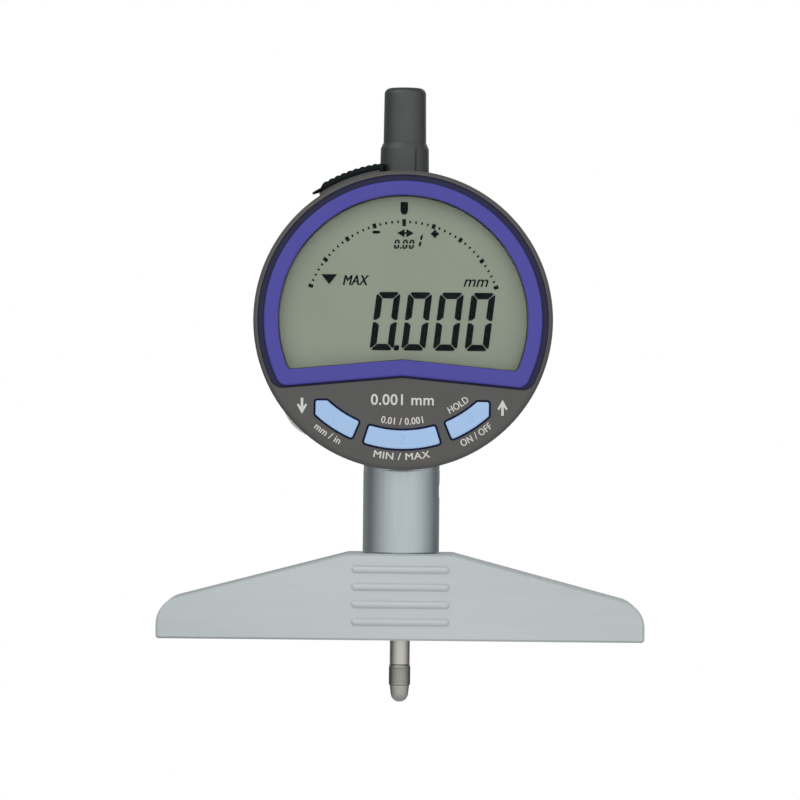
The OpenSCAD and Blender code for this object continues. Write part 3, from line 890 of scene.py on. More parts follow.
def loft(bm: BMesh, loops: Sequence[Edges], closed: bool = False) -> None:
    """Bridges loops in order.

    Args:
        bm: The mesh.
        loops: The loops, all of one length.
        closed: True to join the last to the first, and False to cap both ends.
    """
    for first, second in zip(loops, loops[1:]):
        bmesh.ops.bridge_loops(bm, edges=[*first, *second])
    if closed:
        bmesh.ops.bridge_loops(bm, edges=[*loops[-1], *loops[0]])
    else:
        bmesh.ops.edgeloop_fill(bm, edges=loops[0])
        bmesh.ops.edgeloop_fill(bm, edges=loops[-1])


def round_over(bm: BMesh, edges: Iterable[bmesh.types.BMEdge], radius: float, segments: int = 4) -> None:
    """Rounds edges.

    Args:
        bm: The mesh.
        edges: The edges to round.
        radius: How far the rounding reaches.
        segments: How many faces it has.
    """
    bmesh.ops.bevel(
        bm,
        geom=list(edges),
        offset=radius,
        segments=segments,
        profile=0.5,
        affect="EDGES",
        material=-1,
        clamp_overlap=True,
    )


def raise_faces(bm: BMesh, faces: Iterable[bmesh.types.BMFace], height: float) -> None:
    """Makes flat faces into plates.

    Args:
        bm: The mesh.
        faces: The flat faces.
        height: The plates' thickness, along the third axis.
    """
    made = bmesh.ops.extrude_face_region(bm, geom=list(faces), use_keep_orig=True)["geom"]
    lifted = [part for part in made if isinstance(part, bmesh.types.BMVert)]
    bmesh.ops.translate(bm, verts=lifted, vec=(0.0, 0.0, height))


def plate(bm: BMesh, points: Sequence[Point], low: float, height: float) -> None:
    """Adds a thin plate.

    Args:
        bm: The mesh.
        points: The plate's outline.
        low: Where its back is, along the third axis.
        height: Its thickness.
    """
    face = bm.faces.new([bm.verts.new((x, y, low)) for x, y in points])
    raise_faces(bm, [face], height)


@dataclass(frozen=True)
class Bend:
    """Where a soft piece leaves its own body and where it has joined another, in its mesh's own frame."""

    body: str
    start: Point
    end: Point


@dataclass
class Workshop:
    """Turns finished meshes into pieces that ride on their bodies."""

    palette: Palette
    head_centre: Vector

    @property
    def head(self) -> Matrix:
        """The head's frame in millimetres: X right, Y up and Z out of the display, from the head's centre."""
        turn = Matrix.Rotation(math.radians(90), 4, "X")
        return Matrix.Translation(self.head_centre) @ turn @ Matrix.Scale(MM, 4)

    @property
    def row(self) -> Matrix:
        """The object's own frame, in millimetres."""
        return Matrix.Scale(MM, 4)

    def piece(
        self,
        bm: BMesh,
        name: str,
        finish: str,
        body: str,
        place: Matrix,
        replaces: Sequence[str] = (),
        slot: str | None = None,
        sharp: float = 35.0,
        bend: Bend | None = None,
    ) -> bpy.types.Object:
        """Finishes a mesh and lets it ride.

        Args:
            bm: The mesh, in the frame that place names.
            name: The piece's name.
            finish: The finish that it shows.
            body: The CAD body that it rides on.
            place: The frame that the mesh was made in.
            replaces: CAD nodes that it stands for.
            slot: The record's material slot, if it has one; not used.
            sharp: Edges that turn by more degrees than this stay sharp.
            bend: Where the piece would bend onto another body, or None if it is stiff. With a bend the piece
                is only baked in place and rides on no body; the bend's places are not used.

        Returns:
            The piece.
        """
        bmesh.ops.remove_doubles(bm, verts=bm.verts, dist=WELD)
        bmesh.ops.recalc_face_normals(bm, faces=bm.faces)
        bm.transform(place)
        mesh = bpy.data.meshes.new(name)
        bm.to_mesh(mesh)
        bm.free()
        mesh.materials.append(self.palette.materials[finish])
        mesh.shade_smooth()
        mesh.set_sharp_from_angle(angle=math.radians(sharp))
        made = bpy.data.objects.new(name, mesh)
        bpy.context.scene.collection.objects.link(made)
        if bend:
            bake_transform(made)
        else:
            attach(made, body)
        if replaces:
            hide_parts(*replaces)
        log.info("made %s: %d faces on %s", name, len(mesh.polygons), body)
        return made


@dataclass(frozen=True)
class Wording:
    """A line of lettering: its text, the height of a figure, the whole width, if it is set, and its form."""

    text: str
    height: float
    width: float | None = None
    bold: float = 0.0
    slant: float = 0.0
    spacing: float = 1.0


class Lettering:
    """Plain lettering, cut as flat faces at a real height in millimetres."""

    curve_steps = 4

    def __init__(self) -> None:
        """Measures the height of a figure in the built-in letter form."""
        trial = self._flat(Wording("0", 1.0))
        heights = [vert.co.y for vert in trial.verts]
        self.figure_height = max(heights) - min(heights)
        trial.free()

    def _flat(self, wording: Wording) -> BMesh:
        """Cuts a line at the letter form's own size.

        Args:
            wording: The line.

        Returns:
            The flat faces.
        """
        curve = bpy.data.curves.new("lettering", "FONT")
        curve.body = wording.text
        curve.offset = wording.bold
        curve.shear = wording.slant
        curve.space_character = wording.spacing
        curve.resolution_u = self.curve_steps
        holder = bpy.data.objects.new("lettering", curve)
        mesh = bpy.data.meshes.new_from_object(holder)
        bm = bmesh.new()
        bm.from_mesh(mesh)
        bpy.data.objects.remove(holder)
        bpy.data.curves.remove(curve)
        bpy.data.meshes.remove(mesh)
        return bm

    def line(self, wording: Wording) -> BMesh:
        """Cuts a line about its own centre.

        Args:
            wording: The line.

        Returns:
            The flat faces.
        """
        bm = self._flat(wording)
        columns = [vert.co.x for vert in bm.verts]
        left, right = min(columns), max(columns)
        tall = wording.height / self.figure_height
        wide = wording.width / (right - left) if wording.width else tall
        bmesh.ops.translate(bm, verts=bm.verts, vec=(-(right + left) / 2, -self.figure_height / 2, 0.0))
        bmesh.ops.scale(bm, verts=bm.verts, vec=(wide, tall, 1.0))
        return bm

    @staticmethod
    def bend(bm: BMesh, radius: float, degrees: float) -> None:
        """Bends a line of text round the head's lower side, its letters' tops towards the centre.

        Args:
            bm: The line, centred.
            radius: The radius of the letters' middle.
            degrees: Where the line's middle stands, counted from straight down.
        """
        for vert in bm.verts:
            angle = math.radians(degrees) + vert.co.x / radius
            out = radius - vert.co.y
            vert.co.x, vert.co.y = out * math.sin(angle), -out * math.cos(angle)


def merge(target: BMesh, source: BMesh, shift: Point, low: float, height: float) -> None:
    """Moves flat faces into place, makes them plates and adds them to a mesh.

    Args:
        target: The mesh that grows.
        source: The flat faces, which are used up.
        shift: How far they move.
        low: Where the plates' backs are.
        height: The plates' thickness.
    """
    bmesh.ops.translate(source, verts=source.verts, vec=(shift[0], shift[1], low))
    raise_faces(source, source.faces, height)
    mesh = bpy.data.meshes.new("merge")
    source.to_mesh(mesh)
    source.free()
    target.from_mesh(mesh)
    bpy.data.meshes.remove(mesh)


# ---- display ---------------------------------------------------------------


class Bar(Enum):
    """The seven bars of a figure."""

    TOP = "top"
    BOTTOM = "bottom"
    MIDDLE = "middle"
    HIGH_LEFT = "high_left"
    HIGH_RIGHT = "high_right"
    LOW_LEFT = "low_left"
    LOW_RIGHT = "low_right"


ZERO = tuple(bar for bar in Bar if bar is not Bar.MIDDLE)
ONE = (Bar.HIGH_RIGHT, Bar.LOW_RIGHT)


@dataclass(frozen=True)
class FigureForm:
    """The size of a seven-bar figure, in millimetres."""

    height: float
    width: float
    stroke: float
    gap: float
    waist: float
    slant: float = math.tan(math.radians(6.8))
    corner: float = 0.62

    def bar(self, which: Bar) -> tuple[list[Point], list[int]]:
        """The outline of one bar, about the figure's centre, upright.

        Args:
            which: The bar.

        Returns:
            The outline, and the indices of its points that are rounded.
        """
        half_w, half_h = self.width / 2, self.height / 2
        t, g = self.stroke, self.gap
        notch_in, notch_rise = 0.45 * t, 0.4 * t
        if which is Bar.MIDDLE:
            side = half_w - t / 2 - g
            flat = side - t / 2
            return [(-side, 0), (-flat, -t / 2), (flat, -t / 2), (side, 0), (flat, t / 2), (-flat, t / 2)], []
        if which in (Bar.TOP, Bar.BOTTOM):
            flip = 1 if which is Bar.TOP else -1
            outer, inner = half_w - g, half_w - t - g
            points = [(-outer, half_h), (outer, half_h), (inner, half_h - t), (-inner, half_h - t)]
            return [(x, y * flip) for x, y in points], [0, 1]
        side = -1 if which in (Bar.HIGH_LEFT, Bar.LOW_LEFT) else 1
        flip = 1 if which in (Bar.HIGH_LEFT, Bar.HIGH_RIGHT) else -1
        points = [
            (half_w, half_h - g),
            (half_w, self.waist),
            (half_w - notch_in, self.waist),
            (half_w - t, self.waist + notch_rise),
            (half_w - t, half_h - t - g),
        ]
        return [(x * side, y * flip) for x, y in points], [0]

    def draw(self, bm: BMesh, bars: Iterable[Bar], centre: Point, low: float, height: float) -> None:
        """Draws a figure as thin plates.

        Args:
            bm: The mesh that grows.
            bars: The bars that are on.
            centre: The figure's centre.
            low: Where the plates' backs are.
            height: The plates' thickness.
        """
        for which in bars:
            outline, soft_corners = self.bar(which)
            flat = bmesh.new()
            verts = [flat.verts.new((x + self.slant * y, y, 0.0)) for x, y in outline]
            flat.faces.new(verts)
            if soft_corners and self.corner:
                bmesh.ops.bevel(
                    flat,
                    geom=[verts[i] for i in soft_corners],
                    offset=self.corner * self.stroke,
                    segments=4,
                    profile=0.5,
                    affect="VERTICES",
                    material=-1,
                )
            merge(bm, flat, centre, low, height)


@dataclass
class Display:
    """What the display shows: the reading, a bar scale and small signs. Sizes are in millimetres."""

    shop: Workshop
    front: float
    film: float = 0.03
    strike: float = 0.07
    figures: FigureForm = FigureForm(12.1, 5.0, 1.35, 0.09, 0.25)
    figure_count: int = 4
    figure_pitch: float = 6.55
    figures_centre: Point = (6.1, -0.2)
    point_side: float = 1.1
    point_lean: float = 0.12
    point_place: Point = (-1.95, -6.25)
    point_corner: float = 0.25
    small_zero: FigureForm = FigureForm(1.9, 1.05, 0.38, 0.04, 0.1)
    small_zero_places: tuple[Point, ...] = ((-1.45, 15.75), (0.25, 15.75), (1.6, 15.75))
    small_one: FigureForm = FigureForm(3.0, 1.1, 0.45, 0.1, 0.15, slant=0.2)
    small_one_place: Point = (3.15, 16.5)
    small_point_side: float = 0.35
    small_point_place: Point = (-0.8, 14.8)
    scale_radius: float = 20.4
    scale_half_angle: float = 70.0
    scale_steps: int = 40
    steps_per_major: int = 5
    minor_half_length: float = 0.26
    minor_width: float = 0.36
    major_half_length: float = 0.5
    major_width: float = 0.75
    middle_reach: Point = (19.5, 20.95)
    pointer_place: Point = (0.0, 21.9)
    pointer_corner: float = 0.2
    corner_steps: int = 4
    dash_place: Point = (-5.75, 18.2)
    plus_place: Point = (6.4, 17.95)
    both_ways_place: Point = (0.3, 18.05)
    mode_arrow_place: Point = (-15.4, 8.35)
    mode_word: Wording = Wording("MAX", 2.1, width=5.3, slant=0.25)
    mode_word_place: Point = (-9.85, 8.25)
    unit: Wording = Wording("mm", 2.3, width=5.2, bold=0.01, slant=0.3)
    unit_place: Point = (15.0, 8.25)
    letters: Lettering = field(default_factory=Lettering)

    def _mark(self, bm: BMesh, outline: Sequence[Point], centre: Point = (0.0, 0.0)) -> None:
        """Draws one mark of a given outline.

        Args:
            bm: The mesh that grows.
            outline: The outline about its centre.
            centre: Where the centre goes.
        """
        plate(bm, [(centre[0] + x, centre[1] + y) for x, y in outline], self.front, self.film)

    def _reading(self, bm: BMesh) -> None:
        """Draws the large reading with its point.

        Args:
            bm: The mesh that grows.
        """
        middle_x, middle_y = self.figures_centre
        for place in range(self.figure_count):
            x = middle_x + (place - (self.figure_count - 1) / 2) * self.figure_pitch
            self.figures.draw(bm, ZERO, (x, middle_y), self.front, self.film)
        side, lean = self.point_side, self.point_side * self.point_lean
        point = [(0.0, 0.0), (side, 0.0), (side + lean, side), (lean, side)]
        self._mark(bm, rounded(point, self.point_corner, self.corner_steps), self.point_place)

    def _resolution(self, bm: BMesh) -> None:
        """Draws the small figures of the step that the reading counts in.

        Args:
            bm: The mesh that grows.
        """
        for place in self.small_zero_places:
            self.small_zero.draw(bm, ZERO, place, self.front, self.film)
        side = self.small_point_side
        self._mark(bm, [(0.0, 0.0), (side, 0.0), (side, side), (0.0, side)], self.small_point_place)
        self.small_one.draw(bm, ONE, self.small_one_place, self.front, self.film)

    def _tick(self, bm: BMesh, angle: float, inner: float, outer: float, width: float) -> None:
        """Draws one mark of the scale, pointing at the head's centre.

        Args:
            bm: The mesh that grows.
            angle: The mark's angle from straight up, clockwise.
            inner: Its inner radius.
            outer: Its outer radius.
            width: Its width.
        """
        turn = Matrix.Rotation(-math.radians(angle), 2)
        half = width / 2
        upright = [(-half, inner), (half, inner), (half, outer), (-half, outer)]
        self._mark(bm, [tuple(turn @ Vector(corner)) for corner in upright])

    def _scale(self, bm: BMesh) -> None:
        """Draws the bar scale and its pointer.

        Args:
            bm: The mesh that grows.
        """
        for step in range(self.scale_steps + 1):
            angle = self.scale_half_angle * (2 * step / self.scale_steps - 1)
            if step == self.scale_steps // 2:
                inner, outer, width = *self.middle_reach, self.major_width
            else:
                major = step % self.steps_per_major == 0
                half = self.major_half_length if major else self.minor_half_length
                inner, outer = self.scale_radius - half, self.scale_radius + half
                width = self.major_width if major else self.minor_width
            self._tick(bm, angle, inner, outer, width)
        wide, narrow, shoulder, top = 0.78, 0.429, 0.8, 2.6
        right = [(narrow, 0.0), (wide, shoulder), (wide, top)]
        pointer = [*right, *((-x, y) for x, y in reversed(right))]
        self._mark(bm, rounded(pointer, self.pointer_corner, self.corner_steps), self.pointer_place)

    def _signs(self, bm: BMesh) -> None:
        """Draws the signs under the scale, the mode's arrow and word, and the unit.

        Args:
            bm: The mesh that grows.
        """
        dash = [(-0.95, 0.0), (-0.55, -0.3), (0.55, -0.3), (0.95, 0.0), (0.55, 0.3), (-0.55, 0.3)]
        self._mark(bm, dash, self.dash_place)
        arm, waist = 0.95, 0.42
        plus = []
        for degrees in (0, 90, 180, 270):
            turn = Matrix.Rotation(math.radians(degrees), 2)
            plus += [tuple(turn @ Vector(corner)) for corner in ((0.0, -arm), (waist, -waist))]
        self._mark(bm, plus, self.plus_place)
        tip, barb, bar = 1.75, 0.85, 0.2
        half_arrow = [(-tip, 0.0), (-bar, -barb), (-bar, -bar), (bar, -bar), (bar, -barb)]
        self._mark(bm, [*half_arrow, *((-x, -y) for x, y in half_arrow)], self.both_ways_place)
        half, drop = 1.65, 1.05
        self._mark(bm, [(-half, drop), (0.0, -drop), (half, drop)], self.mode_arrow_place)
        word_x, word_y = self.mode_word_place
        for strike, shift in enumerate((-self.strike, self.strike)):
            film = self.film + strike * CROWN
            merge(bm, self.letters.line(self.mode_word), (word_x + shift, word_y), self.front, film)
        merge(bm, self.letters.line(self.unit), self.unit_place, self.front, self.film)

    def build(self) -> None:
        """Builds all that the display shows, as one piece on the display glass."""
        bm = bmesh.new()
        self._reading(bm)
        self._resolution(bm)
        self._scale(bm)
        self._signs(bm)
        self.shop.piece(bm, "display_figures", "display_ink", GAUGE, self.shop.head, sharp=20)


# ---- front of the head -----------------------------------------------------


@dataclass
class DisplayFrame:
    """The coloured frame round the window, with rounded edges. Sizes are in millimetres."""

    shop: Workshop
    seat: float
    front: float
    outer: DOutline = DOutline(28.8, 11.5, 2.2)
    inner: DOutline = DOutline(25.85, 8.2, 1.1)
    pocket: float = 0.75
    lens_room: float = 1.05
    outer_round: float = 0.45
    inner_round: float = 0.25

    def build(self) -> None:
        """Builds the frame in place of the CAD's plain one."""
        bm = bmesh.new()
        ledge = self.seat + self.lens_room
        rims = [loop(bm, self.outer.points(), self.seat)]
        for inset, rise in quarter(self.outer_round):
            rims.append(loop(bm, self.outer.points(-inset), self.front - CROWN - self.outer_round + rise))
        rims.append(loop(bm, self.outer.points(-self.outer_round - HOLD), self.front))
        rims.append(loop(bm, self.inner.points(self.inner_round + HOLD), self.front - CROWN))
        for inset, rise in reversed(quarter(self.inner_round)):
            rims.append(loop(bm, self.inner.points(inset), self.front - 2 * CROWN - self.inner_round + rise))
        rims.append(loop(bm, self.inner.points(), ledge))
        rims.append(loop(bm, self.inner.points(self.pocket), ledge - CROWN))
        rims.append(loop(bm, self.inner.points(self.pocket), self.seat + CROWN))
        loft(bm, rims, closed=True)
        head, node = self.shop.head, ("display_frame",)
        self.shop.piece(bm, "rounded_display_frame", "frame_plastic", GAUGE, head, node, "frame_plastic")


@dataclass(frozen=True)
class Caption:
    """A caption on the keys' arc: its text, radius, place in degrees from straight down, and length."""

    text: str
    radius: float
    degrees: float
    width: float


ABOVE_KEYS, BELOW_KEYS = 20.9, 28.15  # the radii of the captions' middles, in millimetres


@dataclass
class FacePrint:
    """The white marks printed on the case: captions round the keys, arrows and the range.

    Captions are struck twice, a little apart, for a bolder stroke. Sizes are in millimetres.
    """

    shop: Workshop
    face: float
    film: float = 0.02
    strike: float = 0.035
    caption_height: float = 1.45
    spacing: float = 1.05
    captions: tuple[Caption, ...] = (
        Caption("mm / in", BELOW_KEYS, -33.0, 6.0),
        Caption("0.01 / 0.001", ABOVE_KEYS, 0.0, 8.6),
        Caption("MIN / MAX", BELOW_KEYS, 0.0, 11.6),
        Caption("HOLD", ABOVE_KEYS, 33.5, 4.6),
        Caption("ON / OFF", BELOW_KEYS, 33.0, 7.2),
    )
    arrow_place: Point = (20.7, -17.9)
    rating: Wording = Wording("0.001 mm", 2.2, width=13.0, bold=0.014, spacing=1.05)
    rating_place: Point = (0.0, -16.4)
    letters: Lettering = field(default_factory=Lettering)

    def _caption(self, bm: BMesh, caption: Caption) -> None:
        """Prints a caption that follows the keys' arc.

        Args:
            bm: The mesh that grows.
            caption: The caption.
        """
        wording = Wording(caption.text, self.caption_height, width=caption.width, spacing=self.spacing)
        for strike, shift in enumerate((-self.strike, self.strike)):
            line = self.letters.line(wording)
            self.letters.bend(line, caption.radius, caption.degrees + math.degrees(shift / caption.radius))
            merge(bm, line, (0.0, 0.0), self.face, self.film + strike * CROWN)

    def _arrow(self, bm: BMesh, centre: Point, way: int) -> None:
        """Prints an arrow.

        Args:
            bm: The mesh that grows.
            centre: Its centre.
            way: 1 to point up and -1 to point down.
        """
        tip, barb, notch, shaft = 1.65, -0.25, 0.2, 0.26
        wide, barb_in, barb_low = 1.05, 0.756, -0.5
        right = [(wide, barb), (barb_in, barb_low), (shaft, notch), (shaft, -tip)]
        outline = [(0.0, tip), *right, *((-x, y) for x, y in reversed(right))]
        plate(bm, [(centre[0] + x, centre[1] + y * way) for x, y in outline], self.face, self.film)

    def build(self) -> None:
        """Prints all the marks as one piece."""
        bm = bmesh.new()
        for caption in self.captions:
            self._caption(bm, caption)
        x, y = self.arrow_place
        self._arrow(bm, (-x, y), -1)
        self._arrow(bm, (x, y), 1)
        merge(bm, self.letters.line(self.rating), self.rating_place, self.face, self.film)
        self.shop.piece(bm, "face_print", "face_ink", GAUGE, self.shop.head, sharp=20)


@dataclass(frozen=True)
class KeyPlan:
    """One key: its name, its body, its middle angle from straight down and its figure."""

    name: str
    body: str
    middle: float
    figure: str
    figure_place: Point


@dataclass
class Keys:
    """The three arc keys: a pale cap with rounded edges on a skirt whose dark navy is painted shade for the
    gap round the cap, and a faint figure.

    Sizes are in millimetres.
    """

    shop: Workshop
    top: float
    inner: float = 22.8
    outer: float = 26.6
    middle_half_angle: float = 17.3
    side_angle: float = 22.9
    cut_x: float = 17.9
    cut_y: float = 16.75
    corner: float = 0.45
    bottom: float = 10.0
    flange_top: float = 10.95
    cap_root: float = 0.05
    flange: float = 0.9
    pusher_radius: float = 1.0
    pusher_place: float = 24.4
    pusher_low: float = 9.9
    pusher_sides: int = 24
    edge_round: float = 0.3
    steps: int = 14
    figure_height: float = 1.9
    figure_bold: float = 0.01
    figure_film: float = 0.015
    plans: tuple[KeyPlan, ...] = (
        KeyPlan("left_key", "left_key_body", -33.5, "1", (-14.2, -20.1)),
        KeyPlan("middle_key", "middle_key_body", 0.0, "2", (0.0, -24.65)),
        KeyPlan("right_key", "right_key_body", 33.5, "3", (14.2, -20.1)),
    )
    letters: Lettering = field(default_factory=Lettering)

    def _middle_outline(self, margin: float) -> list[Point]:
        """The middle key's outline, grown by a margin.

        Args:
            margin: How far it grows.

        Returns:
            The outline's points.
        """
        spare_in = self.middle_half_angle + math.degrees(margin / self.inner)
        spare_out = self.middle_half_angle + math.degrees(margin / self.outer)
        low = arc(self.outer + margin, -90 - spare_out, -90 + spare_out, self.steps)
        return low + arc(self.inner - margin, -90 + spare_in, -90 - spare_in, self.steps)

    def _right_outline(self, margin: float) -> list[Point]:
        """The right key's outline, grown by a margin: its far end is cut square to the case.

        Args:
            margin: How far it grows.

        Returns:
            The outline's points.
        """
        inner, outer = self.inner - margin, self.outer + margin
        cut_x, cut_y = self.cut_x + margin, self.cut_y - margin
        start_in = self.side_angle - math.degrees(margin / inner)
        start_out = self.side_angle - math.degrees(margin / outer)
        end_out = math.degrees(math.asin(cut_x / outer))
        end_in = math.degrees(math.acos(cut_y / inner))
        low = arc(outer, -90 + start_out, -90 + end_out, self.steps)
        return [*low, (cut_x, -cut_y), *arc(inner, -90 + end_in, -90 + start_in, self.steps)]

    def _outline(self, plan: KeyPlan, margin: float) -> list[Point]:
        """A key's rounded outline, grown by a margin.

        Args:
            plan: The key.
            margin: How far it grows.

        Returns:
            The outline's points.
        """
        if plan.middle == 0:
            return rounded(self._middle_outline(margin), self.corner)
        right = rounded(self._right_outline(margin), self.corner)
        return right if plan.middle > 0 else [(-x, y) for x, y in reversed(right)]

    def _cap(self, plan: KeyPlan) -> BMesh:
        """The key's cap.

        Args:
            plan: The key.

        Returns:
            The mesh.
        """
        bm = bmesh.new()
        rims = [loop(bm, self._outline(plan, 0.0), self.flange_top - self.cap_root)]
        for inset, rise in quarter(self.edge_round):
            rims.append(loop(bm, self._outline(plan, -inset), self.top - CROWN - self.edge_round + rise))
        rims.append(loop(bm, self._outline(plan, -self.edge_round - HOLD), self.top))
        loft(bm, rims)
        return bm

    def _skirt(self, plan: KeyPlan) -> BMesh:
        """The flange that keeps the key behind the face, and the peg that presses its switch.

        Args:
            plan: The key.

        Returns:
            The mesh.
        """
        bm = bmesh.new()
        plate(bm, self._outline(plan, self.flange), self.bottom, self.flange_top - self.bottom)
        height = self.bottom - self.pusher_low
        x, y = polar(self.pusher_place, plan.middle - 90)
        bmesh.ops.create_cone(
            bm,
            cap_ends=True,
            segments=self.pusher_sides,
            radius1=self.pusher_radius,
            radius2=self.pusher_radius,
            depth=height,
            matrix=Matrix.Translation((x, y, self.pusher_low + height / 2)),
        )
        return bm

    def build(self) -> None:
        """Builds the keys in place of the CAD's plain ones, each with its figure."""
        head = self.shop.head
        for plan in self.plans:
            named, cap, skirt = (plan.name,), self._cap(plan), self._skirt(plan)
            wording = Wording(plan.figure, self.figure_height, bold=self.figure_bold)
            self.shop.piece(cap, f"{plan.name}_cap", "key_blue", plan.body, head, named, "key_blue")
            # the skirt's dark navy colour is painted shade, seen as the shadow in the gap round the cap
            self.shop.piece(skirt, f"{plan.name}_skirt", "key_skirt_painted_shade", plan.body, head, named)
            mark = bmesh.new()
            merge(mark, self.letters.line(wording), plan.figure_place, self.top, self.figure_film)
            self.shop.piece(mark, f"{plan.name}_figure", "key_ink", plan.body, head, sharp=20)


# ---- spindle end -----------------------------------------------------------


@dataclass
class ContactPoint:
    """The screwed-in contact point: a knurled grip and a rounded nose. Sizes are in millimetres."""

    shop: Workshop
    tip: float
    shank_top: float
    top: float = -5.3
    grip_radius: float = 2.25
    top_radius: float = 2.13
    edge_cut: float = 0.1
    knurl_depth: float = 0.1
    teeth: int = 56
    rows: int = 13
    knurl_top: float = -6.1
    knurl_low: float = -9.4
    knurl_end_step: float = 0.03
    neck_radius: float = 2.07
    neck_place: float = -9.75
    neck_fall: float = 0.25
    neck_step: float = 0.05
    ball_radius: float = 1.8
    ball_shift: float = 0.03
    ball_angle: float = 85.0
    ball_steps: int = 12
    shank_radius: float = 1.22

    def _turned(self, bm: BMesh, radius: float, z: float, row: int | None = None) -> Edges:
        """Adds a ring round the axis.

        Args:
            bm: The mesh.
            radius: The ring's radius.
            z: Its height.
            row: The knurl's row, where every other point is cut in, or None on a plain ring.

        Returns:
            The ring's edges.
        """
        points = []
        for tooth in range(self.teeth):
            cut = self.knurl_depth if row is not None and (tooth + row) % 2 else 0.0
            points.append(polar(radius - cut, 360.0 * tooth / self.teeth))
        return loop(bm, points, z)

    def _grip(self) -> BMesh:
        """Builds the shank and the knurled grip.

        Returns:
            Their mesh.
        """
        bm = bmesh.new()
        rings = [
            self._turned(bm, self.shank_radius, self.shank_top),
            self._turned(bm, self.shank_radius, self.top),
            self._turned(bm, self.top_radius - self.edge_cut, self.top - CROWN),
            self._turned(bm, self.top_radius, self.top - self.edge_cut),
            self._turned(bm, self.grip_radius, self.knurl_top + self.edge_cut),
        ]
        for row in range(self.rows):
            z = self.knurl_top + (self.knurl_low - self.knurl_top) * row / (self.rows - 1)
            rings.append(self._turned(bm, self.grip_radius, z, row))
        rings.append(self._turned(bm, self.grip_radius - self.knurl_end_step, self.knurl_low - self.edge_cut))
        rings.append(self._turned(bm, self.neck_radius, self.neck_place))
        loft(bm, rings)
        return bm

    def _nose(self) -> BMesh:
        """Builds the polished nose.

        Returns:
            Its mesh.
        """
        bm = bmesh.new()
        centre = self.tip + self.ball_radius
        rings = [
            self._turned(bm, self.neck_radius, self.neck_place),
            self._turned(bm, self.neck_radius - self.neck_step, self.neck_place - self.neck_fall),
        ]
        for step in range(self.ball_steps):
            turn = math.radians(self.ball_angle * (1 - step / self.ball_steps))
            radius = self.ball_radius * math.sin(turn) + self.ball_shift
            rings.append(self._turned(bm, radius, centre - self.ball_radius * math.cos(turn)))
        rings.append(self._turned(bm, self.ball_shift, self.tip))
        loft(bm, rings)
        return bm

    def build(self) -> None:
        """Builds the contact point in place of the CAD's plain one."""
        row, node, steel = self.shop.row, ("contact_point",), "contact_steel"
        self.shop.piece(self._grip(), "knurled_contact_grip", steel, SPINDLE, row, node, steel, sharp=50)
        self.shop.piece(self._nose(), "contact_nose", "nose_steel", SPINDLE, row, node, sharp=40)


@dataclass
class ReturnSpring:
    """The compression spring inside the head, between the frame and the rising carrier, built at one length.

    Sizes are in millimetres.
    """

    shop: Workshop
    low: float
    high: float
    outer_radius: float
    wire: float = 0.5
    turns: int = 10
    steps_per_turn: int = 24
    wire_sides: int = 10
    travel: float = 13.5

    def build(self) -> None:
        """Builds the spring in place of the CAD's one, at a single length."""
        bm = bmesh.new()
        count = self.turns * self.steps_per_turn
        first, last = self.low + self.wire / 2, self.high - self.wire / 2
        middle = self.outer_radius - self.wire / 2
        around = [polar(self.wire / 2, 360.0 * side / self.wire_sides) for side in range(self.wire_sides)]
        sections = []
        for step in range(count + 1):
            share = step / count
            turn = 360.0 * self.turns * share
            height = first + (last - first) * share
            sections.append(ring(bm, [(*polar(middle + out, turn), height + up) for out, up in around]))
        loft(bm, sections)
        row, node = self.shop.row, ("return_spring",)
        made = self.shop.piece(bm, "coiled_return_spring", "spring_metal", GAUGE, row, node, "spring_metal")
        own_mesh(made)


@dataclass
class NeckSeam:
    """The thin bead that closes the seam between neck tube and collar. Sizes are in millimetres."""

    shop: Workshop
    radius: float
    top: float
    depth: float = 0.3
    below: float = 0.17
    above: float = 0.2
    step: float = 0.045
    skin: float = 0.005
    segments: int = 128

    def build(self) -> None:
        """Builds the bead."""
        bm = bmesh.new()
        foot, inner = self.radius - self.skin, self.radius - self.depth
        profile = [
            (foot, self.top - self.below),
            (foot, self.top),
            (self.radius - self.step, self.top + self.above),
            (inner, self.top + self.above - CROWN),
            (inner, self.top - self.below + CROWN),
        ]
        turns = [360.0 * step / self.segments for step in range(self.segments)]
        rings = [loop(bm, [polar(radius, turn) for turn in turns], z) for radius, z in profile]
        loft(bm, rings, closed=True)
        self.shop.piece(bm, "neck_seam_bead", "neck_steel", GAUGE, self.shop.row, sharp=60)


# ---- output port -----------------------------------------------------------


